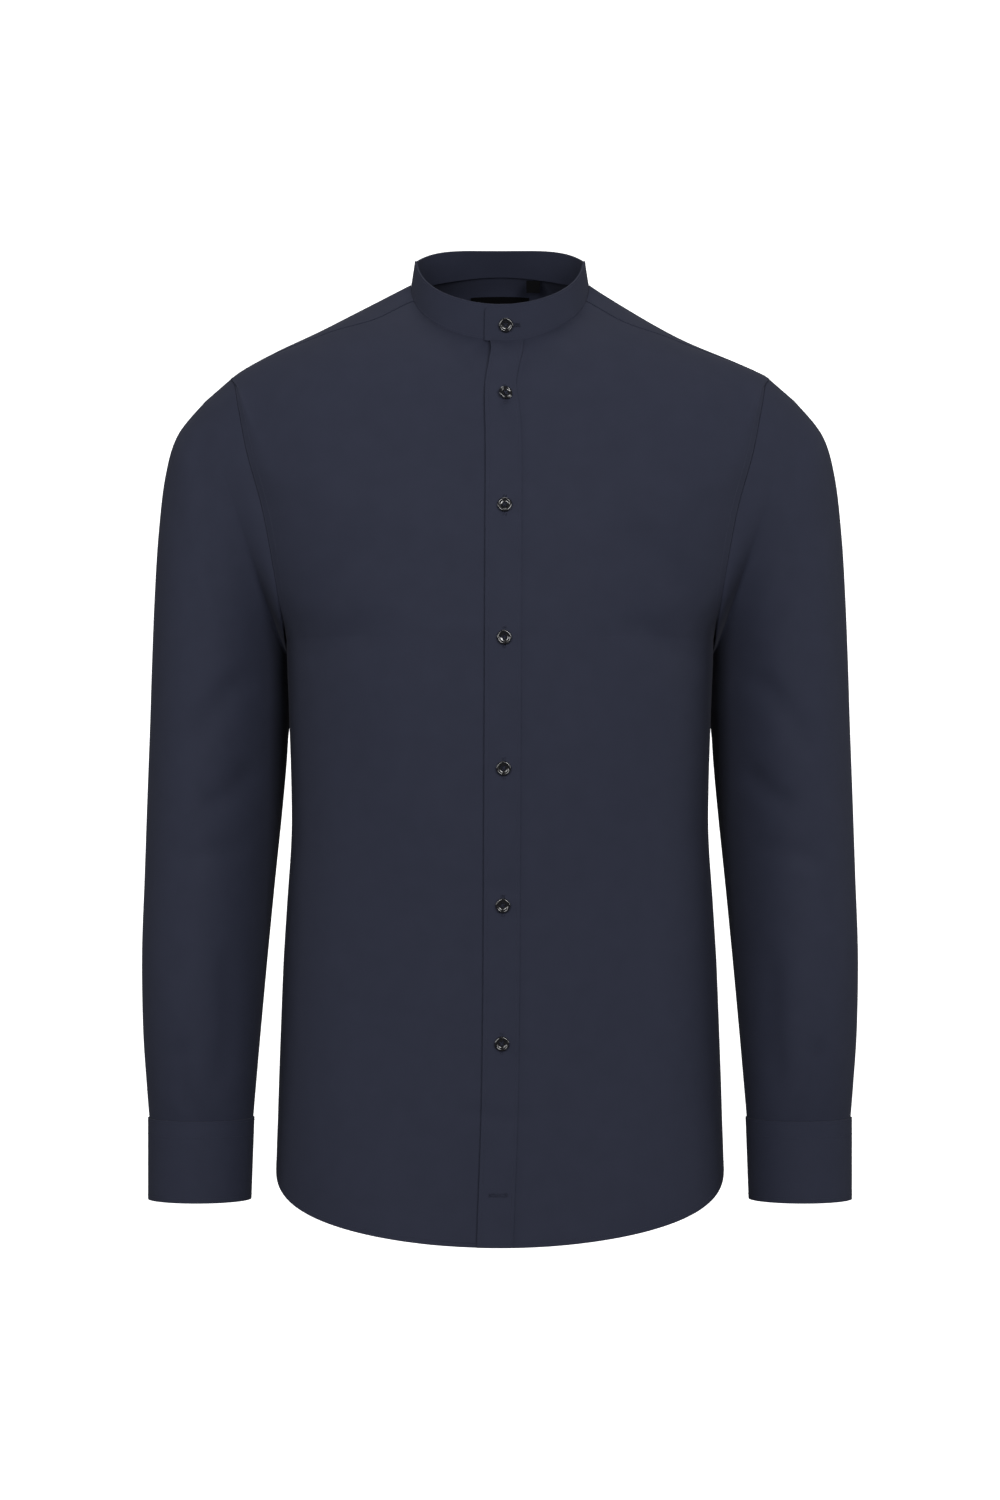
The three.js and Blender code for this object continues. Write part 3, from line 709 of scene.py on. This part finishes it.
def sleeve_at(ring, turn, lift=0.0):
    ring, turn = np.broadcast_arrays(np.asarray(ring, float), np.asarray(turn, float))
    safe = np.clip(ring, 0.06, SLEEVE_LAST - 0.04)
    out = normals(lambda r, u: sleeve(r, -u), safe, -turn)
    points = sleeve(ring, turn)
    x, z = points[..., 0], points[..., 2]
    front = points[..., 1] < SLEEVE_RINGS["y"].mean()
    depth = np.where(front, crease_depth(x, z, SLEEVE_FRONT_CREASES), crease_depth(x, z, SLEEVE_BACK_CREASES))
    side = ease(np.abs(np.sin(np.radians(turn))) * 2.2 - 0.2) * ease(ring / 1.2)
    return points + out * (np.asarray(lift, float) - depth * side)[..., None], out


def mirror(points):
    return points * np.array([-1, 1, 1])


def sleeve_cloth(side):
    turn = -np.linspace(0, 360, 121)[:-1]
    ring = np.concatenate([[0.012], np.linspace(0, SLEEVE_LAST, 200)[1:]])
    points, _ = sleeve_at(ring[:, None], turn[None, :])
    return cloth("sleeve_" + side + "_cloth", sided(points, side), CLOTH, closed=True)


def sided(points, side):
    """Points of the left sleeve, or mirrored for the right with the columns turned round."""
    return points if side == "left" else mirror(points)[:, ::-1]


def cuff_surface(height, turn):
    at = {name: ends[0] + (ends[1] - ends[0]) * height for name, ends in CUFF_RINGS.items()}
    c, s = np.cos(np.radians(turn)), np.sin(np.radians(turn))
    x = at["x"] + (at["half"] + CUFF_GROW) * c
    y = at["y"] - (at["depth"] + CUFF_GROW) * s
    z = SLEEVE_END - SEAM_GAP - CUFF_LENGTH * height + 0 * turn
    return np.stack([x, y, z], -1)


CUFF_LAP_TURN = CUFF_LAP / (math.radians(1) * 41.6) / 2
CUFF_FIRST = CUFF_OPENING + CUFF_LAP_TURN
CUFF_LAST = CUFF_OPENING - 360 - CUFF_LAP_TURN


def cuff_at(height, turn, lift=0.0):
    height, turn = np.broadcast_arrays(np.asarray(height, float), np.asarray(turn, float))
    out = normals(lambda h, u: cuff_surface(h, -u), height, -turn, 0.01)
    lap = 2.1 * ease(1 - (CUFF_FIRST - turn) / CUFF_LAP_ANGLE)
    return cuff_surface(height, turn) + out * (lap + lift)[..., None], out


def cuff_cloth(side):
    turn = np.linspace(CUFF_FIRST, CUFF_LAST, 160)
    height = np.linspace(0, 1, 14)
    points, _ = cuff_at(height[:, None], turn[None, :])
    return cloth("cuff_" + side + "_cloth", sided(points, side), CUFF_CLOTH)


def sleeve_placket(side):
    ring = np.linspace(SLEEVE_LAST - SLEEVE_PLACKET_RINGS, SLEEVE_LAST - 0.04, 40)
    turn = CUFF_OPENING + np.linspace(SLEEVE_PLACKET_HALF_TURN, -SLEEVE_PLACKET_HALF_TURN, 12)
    points, _ = sleeve_at(ring[:, None], turn[None, :], 0.9)
    return cloth("sleeve_placket_" + side + "_cloth", sided(points, side), PLACKET_CLOTH)


# Sewing. A run of stitches follows a line of points with outward directions.
def thread_ridges(points, along, out, length, wide, high):
    """Small roof-shaped threads lying at points; returns their corners and faces."""
    across = unit(np.cross(out, along))
    corners = []
    for end, size in ((-0.5, 0.55), (0, 1), (0.5, 0.55)):
        for sx, sz in ((-1, 0), (0, 1), (1, 0)):
            offset = along * length * end + across * wide / 2 * sx * size + out * high * (sz * size - 0.15)
            corners.append(points + offset)
    corners = np.stack(corners, 1)
    pattern = []
    for k in (0, 3):
        pattern += [(k, k + 1, k + 4, k + 3), (k + 1, k + 2, k + 5, k + 4)]
    base = np.arange(len(points))[:, None, None] * corners.shape[1]
    faces = (np.array(pattern)[None] + base).reshape(-1, 4)
    return corners.reshape(-1, 3), faces


def thread_row(points, along, out, length, wide, high):
    """Threads at points that all run and face the same way."""
    count = (len(points), 1)
    return thread_ridges(points, np.tile(along, count), np.tile(out, count), length, wide, high)


def merged(parts):
    """The corners and faces of several meshes as one."""
    corners, faces, count = [], [], 0
    for part_corners, part_faces in parts:
        corners.append(part_corners)
        faces.append(part_faces + count)
        count += len(part_corners)
    return np.concatenate(corners), np.concatenate(faces)


def thread_object(name, parts):
    corners, faces = merged(parts)
    return make_mesh(name, corners, faces.tolist(), smooth=False)


def stitched(points, out):
    """Thread corners and faces for one row of stitches along a line."""
    step = np.linalg.norm(np.diff(points, axis=0), axis=-1)
    total = np.concatenate([[0], np.cumsum(step)])
    count = max(int(total[-1] / STITCH_PITCH), 1)
    at = (np.arange(count) + 0.5) * total[-1] / count
    here = np.stack([np.interp(at, total, points[:, k]) for k in range(3)], -1)
    ahead = np.stack([np.interp(at + 0.6, total, points[:, k]) for k in range(3)], -1)
    behind = np.stack([np.interp(at - 0.6, total, points[:, k]) for k in range(3)], -1)
    facing = unit(np.stack([np.interp(at, total, out[:, k]) for k in range(3)], -1))
    return thread_ridges(here, unit(ahead - behind), facing, STITCH_LENGTH, THREAD, THREAD * 0.7)


def sewing(name, runs):
    """One object of all the stitch rows in runs, each a pair of points and outward directions."""
    return thread_object(name, [stitched(points, out) for points, out in runs])


def placket_sewing():
    rows = np.linspace(NECK_ROW + 0.2, LAST_ROW - 0.02, 400)
    runs = []
    for side in (-1, 1):
        angle = angle_on_row(rows, placket_x(rows, side, PLACKET_STITCH_INSET))
        runs.append(torso_creased(rows, angle, PLACKET_LIFT + 0.15 + free_edge_lift(rows, angle)))
    return sewing("placket_stitches", runs)


def hem_sewing():
    runs = []
    for first, last in ((-89, 89), (91, 269)):
        angle = np.linspace(first, last, 300)
        row = LAST_ROW - row_step(np.full_like(angle, LAST_ROW - 1), angle, HEM_STITCH_GAP)
        runs.append(torso_creased(row, angle, np.full_like(angle, 0.15)))
    return sewing("hem_stitches", runs)


def shoulder_sewing():
    runs = []
    rows = np.linspace(NECK_ROW, TIP, 120)
    for side in (1, -1):
        edge = front_edge(rows) + angle_step(rows, front_edge(rows), YOKE_STITCH_GAP)
        runs.append(torso_creased(rows, side * edge, np.full_like(rows, SEAM_RIDGE + STITCH_LIFT)))
    angle = np.linspace(108, 252, 300)
    row = BACK_YOKE_SEAM - row_step(np.full_like(angle, 6.0), angle, YOKE_STITCH_GAP)
    runs.append(torso_creased(row, angle, np.full_like(angle, SEAM_RIDGE + STITCH_LIFT)))
    return sewing("yoke_stitches", runs)


def armhole_sewing():
    runs = []
    for name, toward in (("armhole_front", -1), ("armhole_back", 1)):
        rows = np.linspace(TIP + 0.15, UNDERARM - 0.1, 260)
        for gap in ARMHOLE_STITCH_GAPS:
            edge = armhole_angle(rows, name)
            angle = edge + toward * angle_step(rows, edge, gap)
            lift = np.where(rows < BACK_YOKE_SEAM, SEAM_RIDGE if toward > 0 else 0, 0) + STITCH_LIFT
            for side in (1, -1):
                runs.append(torso_creased(rows, side * angle, lift))
    return sewing("armhole_stitches", runs)


def side_sewing():
    rows = np.linspace(UNDERARM + 0.3, LAST_ROW - 0.1, 300)
    runs = []
    for side in (1, -1):
        for gap in SIDE_STITCH_GAPS:
            angle = 90 + angle_step(rows, 95.0, gap)
            runs.append(torso_creased(rows, side * angle, np.full_like(rows, STITCH_LIFT)))
    return sewing("side_stitches", runs)


def band_sewing():
    angle = np.linspace(BAND_START + 3, BAND_END - 3, 400)
    end = np.linspace(0.14, 0.8, 20)
    inset = 1.8 / (math.radians(1) * RIM["front"])
    runs = [
        band_at(np.full_like(angle, 0.07), angle, STITCH_LIFT),
        band_at(band_top(angle) - 0.07, angle, STITCH_LIFT),
        band_at(end, np.full_like(end, BAND_START + inset), STITCH_LIFT),
    ]
    return sewing("band_stitches", runs)


def cuff_sewing(side):
    runs = []
    turn = np.linspace(CUFF_FIRST - 2.5, CUFF_LAST + 2.5, 300)
    for height in (0.03, 0.2, 0.945):
        runs.append(cuff_at(np.full_like(turn, height), turn, STITCH_LIFT))
    height = np.linspace(0.05, 0.93, 30)
    runs.append(cuff_at(height, np.full_like(height, CUFF_FIRST - 2.5), STITCH_LIFT))
    ring = np.linspace(SLEEVE_LAST - SLEEVE_PLACKET_RINGS + 0.05, SLEEVE_LAST - 0.05, 60)
    for edge in (-1, 1):
        turn_at = CUFF_OPENING + edge * (SLEEVE_PLACKET_HALF_TURN - 2)
        runs.append(sleeve_at(ring, np.full_like(ring, turn_at), 1.05))
    if side == "right":
        runs = [(mirror(points), mirror(out)) for points, out in runs]
    return sewing("cuff_stitches_" + side, runs)


def buttonhole(place, upright, length=BUTTONHOLE_LENGTH):
    """A worked buttonhole round a middle point: close threads along both lips and across both ends."""
    point, out, up = place
    side = unit(np.cross(out, up))
    along, across = (up, side) if upright else (side, up)
    parts = []
    steps = np.linspace(-length / 2, length / 2, LIP_THREADS)
    for lip in (-1, 1):
        spots = point + along * steps[:, None] + across * lip * 0.85 + out * STITCH_LIFT
        parts.append(thread_row(spots, across, out, 1.5, 0.36, 0.3))
    for end in (-1, 1):
        spots = point + along * (end * (length / 2 + np.array([0, 0.4, 0.8]))[:, None]) + out * 0.15
        parts.append(thread_row(spots, across, out, 3.2, 0.4, 0.35))
    return merged(parts)


def placket_place(z, lift):
    """A point on the placket's middle line at a height, with its outward and upward directions."""
    row = row_at_front_height(z)
    x = placket_middle(row) + BUTTONS_ASIDE
    angle = angle_on_row(row, x)
    point, out = torso_at(row, angle, lift)
    above, _ = torso_at(row - 0.05, angle, lift)
    return point, out, unit(above - point)


def band_place(lift):
    angle = float(angle_at_x(COLLAR_BUTTON_X, RIM["half"]))
    point, out = band_at(COLLAR_BUTTON_HEIGHT, angle, lift)
    above, _ = band_at(COLLAR_BUTTON_HEIGHT + 0.05, angle, lift)
    return point, out, unit(above - point)


def cuff_place(side, lift):
    point, out = cuff_at(0.5, CUFF_OPENING, lift)
    up = np.array([0.0, 0.0, 1.0])
    if side == "right":
        point, out = mirror(point), mirror(out)
    return point, out, up


def buttonholes():
    parts = [buttonhole(placket_place(z, PLACKET_LIFT), True) for z in BUTTON_HEIGHTS]
    parts.append(buttonhole(placket_place(EMPTY_BUTTONHOLE, PLACKET_LIFT), False, EMPTY_BUTTONHOLE_LENGTH))
    point, out, up = band_place(0.0)
    parts.append(buttonhole((point + unit(np.cross(out, up)) * -3.0, out, up), False))
    for side in ("left", "right"):
        parts.append(buttonhole(cuff_place(side, 0.0), False))
    return thread_object("buttonhole_stitches", parts)


def lathe_mesh(name, profile, sides):
    """A closed turned shape from (radius, height) pairs that start and end on the axis."""
    made = bmesh.new()
    rings = []
    for radius, height in profile:
        if radius < 1e-6:
            rings.append([made.verts.new((0, 0, height))])
            continue
        turn = [2 * math.pi * k / sides for k in range(sides)]
        rings.append([made.verts.new((radius * math.cos(t), radius * math.sin(t), height)) for t in turn])
    for a, b in zip(rings, rings[1:]):
        for k in range(sides):
            corners = [a[k % len(a)], a[(k + 1) % len(a)], b[(k + 1) % len(b)], b[k % len(b)]]
            made.faces.new(list(dict.fromkeys(corners)))
    mesh = bpy.data.meshes.new(name)
    made.to_mesh(mesh)
    made.free()
    return mesh


def button_mesh():
    """A four-hole button with a rounded, raised rim and a dished middle."""
    r, h = BUTTON_RADIUS * MM, BUTTON_THICKNESS * MM
    profile = [(radius * r, height * h) for radius, height in BUTTON_PROFILE]
    disc = bpy.data.objects.new("button_disc", lathe_mesh("button_disc", profile, 56))
    bpy.context.collection.objects.link(disc)
    holes = []
    drill = HOLE_RADIUS * MM
    drill_profile = [(0, -h), (drill, -h), (drill, 2 * h), (0, 2 * h)]
    for sx in (-1, 1):
        for sy in (-1, 1):
            hole = bpy.data.objects.new("hole", lathe_mesh("hole", drill_profile, 16))
            hole.location = (sx * HOLE_FROM_MIDDLE * MM, sy * HOLE_FROM_MIDDLE * MM, 0)
            bpy.context.collection.objects.link(hole)
            cut = disc.modifiers.new("hole", "BOOLEAN")
            cut.object = hole
            cut.operation = "DIFFERENCE"
            holes.append(hole)
    bpy.context.view_layer.update()
    mesh = bpy.data.meshes.new_from_object(disc.evaluated_get(bpy.context.evaluated_depsgraph_get()))
    mesh.name = "button"
    mesh.polygons.foreach_set("use_smooth", [True] * len(mesh.polygons))
    for extra in (disc, *holes):
        bpy.data.objects.remove(extra)
    mesh.set_sharp_from_angle(angle=math.radians(38))
    return mesh


def placed(name, mesh, place, turn=0.0, tilt=0.0):
    """An object whose z axis faces out at a place, turned about it and tilted to one side."""
    point, out, up = (Vector(v) for v in place)
    side = up.cross(out).normalized()
    up = out.cross(side)
    obj = bpy.data.objects.new(name, mesh)
    basis = Matrix((side, up, out)).transposed().to_4x4()
    turned = Matrix.Rotation(tilt, 4, "Y") @ Matrix.Rotation(turn, 4, "Z")
    obj.matrix_world = Matrix.Translation(point * MM) @ basis @ turned
    bpy.context.collection.objects.link(obj)
    return obj


def cross_mesh():
    """Two crossed bundles of thread over a button's four holes."""
    parts = []
    out = np.array([0.0, 0.0, 1.0])
    for sign in (1, -1):
        along = unit(np.array([1.0, sign, 0.0]))
        across = np.array([-along[1], along[0], 0.0])
        height = BUTTON_THICKNESS * 0.6 + 0.08 + 0.12 * (sign > 0)
        spots = np.array([across * k * 0.3 + out * height for k in (-1, 0, 1)])
        parts.append(thread_row(spots, along, out, 4.4, 0.34, 0.34))
    return thread_object("thread_cross", parts)


def neck_label():
    rows = np.linspace(*LABEL_ROWS, 12)
    x = np.linspace(LABEL_HALF_WIDTH, -LABEL_HALF_WIDTH, 14)
    angle = 180 - angle_at_x(x[None, :], half_at(rows)[:, None])
    row = np.broadcast_to(rows[:, None], angle.shape)
    points, _ = torso_at(row, angle, np.full_like(angle, LABEL_LIFT))
    return cloth("neck_label_cloth", points, LABEL_CLOTH)


def size_tab():
    low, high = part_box("size_tab")
    x = np.linspace(high[0], low[0], 6) / MM
    z = np.linspace(high[2], low[2], 8) / MM
    y = (low[1] + high[1]) / 2 / MM - LABEL_CLOTH / 2
    bend = 0.8 * ((z - z[0]) / (z[-1] - z[0])) ** 2
    points = np.stack(np.broadcast_arrays(x[None, :], (y - bend)[:, None], z[:, None]), -1)
    return cloth("size_tab_cloth", points[:, ::-1], LABEL_CLOTH)


# Materials
def new_material(name):
    material = bpy.data.materials.new(name)
    material.use_nodes = True
    tree = material.node_tree
    tree.nodes.clear()
    output = tree.nodes.new("ShaderNodeOutputMaterial")
    shader = tree.nodes.new("ShaderNodeBsdfPrincipled")
    tree.links.new(shader.outputs["BSDF"], output.inputs["Surface"])
    return material, tree, shader


def math_node(tree, operation, a, b=0.0):
    node = tree.nodes.new("ShaderNodeMath")
    node.operation = operation
    for socket, value in zip(node.inputs, (a, b)):
        if isinstance(value, (int, float)):
            socket.default_value = value
        else:
            tree.links.new(value, socket)
    return node.outputs[0]


def weave_height(tree, pitch):
    """A plain weave from two crossed waves in the cloth's own coordinates."""
    uv = tree.nodes.new("ShaderNodeUVMap")
    uv.uv_map = "cloth"
    split = tree.nodes.new("ShaderNodeSeparateXYZ")
    tree.links.new(uv.outputs["UV"], split.inputs[0])
    scale = 2 * math.pi / (pitch * MM)
    warp = math_node(tree, "SINE", math_node(tree, "MULTIPLY", split.outputs["X"], scale))
    weft = math_node(tree, "SINE", math_node(tree, "MULTIPLY", split.outputs["Y"], scale * 0.9))
    return math_node(tree, "MULTIPLY", warp, weft)


def noise(tree, scale, detail=3.0):
    coordinates = tree.nodes.new("ShaderNodeTexCoord")
    node = tree.nodes.new("ShaderNodeTexNoise")
    node.inputs["Scale"].default_value = scale
    node.inputs["Detail"].default_value = detail
    tree.links.new(coordinates.outputs["Object"], node.inputs["Vector"])
    return node.outputs["Fac"]


def tinted(tree, shader, dark, light, factor):
    mixer = tree.nodes.new("ShaderNodeMix")
    mixer.data_type = "RGBA"
    mixer.inputs["A"].default_value = (*dark, 1)
    mixer.inputs["B"].default_value = (*light, 1)
    tree.links.new(factor, mixer.inputs["Factor"])
    tree.links.new(mixer.outputs["Result"], shader.inputs["Base Color"])


def bumped(tree, shader, height, distance, strength):
    bump = tree.nodes.new("ShaderNodeBump")
    bump.inputs["Distance"].default_value = distance * MM
    bump.inputs["Strength"].default_value = strength
    tree.links.new(height, bump.inputs["Height"])
    tree.links.new(bump.outputs["Normal"], shader.inputs["Normal"])


def shirt_cloth_material():
    material, tree, shader = new_material("navy_poplin")
    weave = math_node(tree, "MULTIPLY_ADD", weave_height(tree, 0.5), 0.25)
    weave.node.inputs[2].default_value = 0.25
    mottled = math_node(tree, "ADD", math_node(tree, "MULTIPLY", noise(tree, 60), 0.5), weave)
    tinted(tree, shader, (0.0142, 0.0163, 0.0285), (0.0206, 0.0232, 0.0396), mottled)
    bumped(tree, shader, weave, 0.08, 0.35)
    shader.inputs["Roughness"].default_value = 0.78
    shader.inputs["Specular IOR Level"].default_value = 0.12
    shader.inputs["Sheen Weight"].default_value = 0.035
    shader.inputs["Sheen Roughness"].default_value = 0.45
    shader.inputs["Sheen Tint"].default_value = (0.75, 0.76, 0.85, 1)
    return material


def thread_material():
    material, tree, shader = new_material("navy_thread")
    tinted(tree, shader, (0.024, 0.027, 0.045), (0.034, 0.037, 0.06), noise(tree, 900))
    shader.inputs["Roughness"].default_value = 0.7
    shader.inputs["Specular IOR Level"].default_value = 0.2
    return material


def button_material():
    material, tree, shader = new_material("black_button")
    tinted(tree, shader, (0.0035, 0.0035, 0.0045), (0.007, 0.007, 0.009), noise(tree, 260))
    shader.inputs["Roughness"].default_value = 0.12
    shader.inputs["Coat Weight"].default_value = 0.6
    shader.inputs["Coat Roughness"].default_value = 0.05
    return material


def label_material():
    material, tree, shader = new_material("black_label")
    weave = weave_height(tree, 0.35)
    raised = math_node(tree, "MULTIPLY_ADD", weave, 0.5)
    tinted(tree, shader, (0.0012, 0.0012, 0.0016), (0.0024, 0.0024, 0.003), raised)
    bumped(tree, shader, weave, 0.04, 0.3)
    shader.inputs["Roughness"].default_value = 0.85
    shader.inputs["Specular IOR Level"].default_value = 0.05
    return material


def pale_material():
    material, tree, shader = new_material("pale_studio")
    tinted(tree, shader, (0.86, 0.86, 0.86), (0.90, 0.90, 0.90), noise(tree, 2))
    shader.inputs["Roughness"].default_value = 0.9
    shader.inputs["Emission Color"].default_value = (1, 1, 1, 1)
    shader.inputs["Emission Strength"].default_value = 1.0
    return material


def finish(obj, material, slot, *nodes):
    """Gives a piece its material and the body it rides on; the slot argument is not used."""
    obj.data.materials.clear()
    obj.data.materials.append(material)
    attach(obj, "root")
    if nodes:
        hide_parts(*nodes)
    return obj


POPLIN = shirt_cloth_material()
NAVY_THREAD = thread_material()
BLACK_BUTTON = button_material()
BLACK_LABEL = label_material()

made = {
    "front_left": front_left(),
    "front_right": front_right(),
    "front_placket": front_placket(),
    "back": back(),
    "yoke": yoke(),
    "collar_band": collar_band(),
    "neck_label": neck_label(),
    "size_tab": size_tab(),
}
for side in ("left", "right"):
    made["sleeve_" + side] = sleeve_cloth(side)
    made["cuff_" + side] = cuff_cloth(side)
    made["sleeve_placket_" + side] = sleeve_placket(side)
for node, obj in made.items():
    is_label = node in ("neck_label", "size_tab")
    finish(obj, BLACK_LABEL if is_label else POPLIN, "label" if is_label else "shirt_cloth", node)

sewn = {
    "placket": placket_sewing(),
    "hem": hem_sewing(),
    "yoke": shoulder_sewing(),
    "armhole": armhole_sewing(),
    "side": side_sewing(),
    "band": band_sewing(),
    "cuff_left": cuff_sewing("left"),
    "cuff_right": cuff_sewing("right"),
    "buttonholes": buttonholes(),
}
for obj in sewn.values():
    finish(obj, NAVY_THREAD, "shirt_cloth")

button = button_mesh()
cross = cross_mesh()
BUTTON_TURNS = (0.3, -0.2, 0.5, 0.15, -0.4, 0.25)
BUTTON_TILTS = (0.45, 0.0, 0.03, 0.0, -0.03, 0.02)
places = {"button_1": (band_place(0.35), 0.1, 0.0)}
for number, z in enumerate(BUTTON_HEIGHTS):
    place = placket_place(z, BUTTON_LIFT)
    places["button_" + str(number + 2)] = (place, BUTTON_TURNS[number], BUTTON_TILTS[number])
for side in ("left", "right"):
    places["cuff_button_" + side] = (cuff_place(side, 0.5), 0.2, 0.0)
for node, (place, turn, tilt) in places.items():
    finish(placed(node + "_plastic", button.copy(), place, turn, tilt), BLACK_BUTTON, "button", node)
    finish(placed(node + "_thread", cross.data.copy(), place, turn, tilt), NAVY_THREAD, "shirt_cloth")
bpy.data.objects.remove(cross)


def backdrop():
    """A pale floor that curves up into a wall, 1.25 m below the origin."""
    radius, depth, height, floor_z = 1.5, 3.5, 6.0, -1.25
    line = [(-0.6, floor_z), (depth - radius, floor_z)]
    for k in range(1, 13):
        turn = math.pi / 2 * k / 12
        line.append((depth - radius + radius * math.sin(turn), floor_z + radius * (1 - math.cos(turn))))
    line.append((depth, height))
    points = [(x, y, z) for y, z in line for x in (-8.0, 8.0)]
    faces = [(2 * k, 2 * k + 1, 2 * k + 3, 2 * k + 2) for k in range(len(line) - 1)]
    floor = make_mesh("floor", np.array(points) / MM, faces)
    floor.data.materials.append(pale_material())
    floor.visible_diffuse = False
    floor.visible_glossy = False


# Each light's name, place and size in metres, and watts
LIGHTS = [
    ("key", (1.0, -2.9, 0.5), 1.2, 68),
    ("fill", (-1.0, -2.9, 0.3), 1.2, 48),
    ("side_left", (-2.3, -0.5, 0.1), 0.9, 15),
    ("side_right", (2.3, 0.0, 0.1), 0.9, 16),
    ("top", (0, 0.2, 2.0), 1.2, 19),
]


def studio():
    """A glowing pale backdrop, a dim sky and soft lights."""
    backdrop()
    world = bpy.data.worlds.new("dim_sky")
    bpy.context.scene.world = world
    world.use_nodes = True
    sky = world.node_tree.nodes["Background"]
    sky.inputs["Color"].default_value = (1, 1, 1, 1)
    sky.inputs["Strength"].default_value = 0.1
    for name, place, size, watts in LIGHTS:
        soft_light(name, place, size, watts)


def soft_light(name, place, size, watts):
    light = bpy.data.lights.new(name, "AREA")
    light.size = size
    light.energy = watts
    obj = bpy.data.objects.new(name, light)
    obj.location = place
    aim = Vector((0, 0, -0.35)) - Vector(place)
    obj.rotation_euler = aim.to_track_quat("-Z", "Y").to_euler()
    bpy.context.collection.objects.link(obj)


def camera():
    """A long lens level with the middle of the picture."""
    lens = bpy.data.cameras.new("camera")
    lens.sensor_fit = "VERTICAL"
    lens.angle = 2 * math.atan(PICTURE_HEIGHT / 2 / CAMERA_DISTANCE)
    obj = bpy.data.objects.new("camera", lens)
    obj.location = (0, -CAMERA_DISTANCE, CAMERA_HEIGHT)
    obj.rotation_euler = (math.radians(90), 0, 0)
    bpy.context.collection.objects.link(obj)
    bpy.context.scene.camera = obj


studio()
camera()
bpy.context.scene.view_settings.view_transform = "Standard"
bpy.context.scene.view_settings.exposure = 0.0
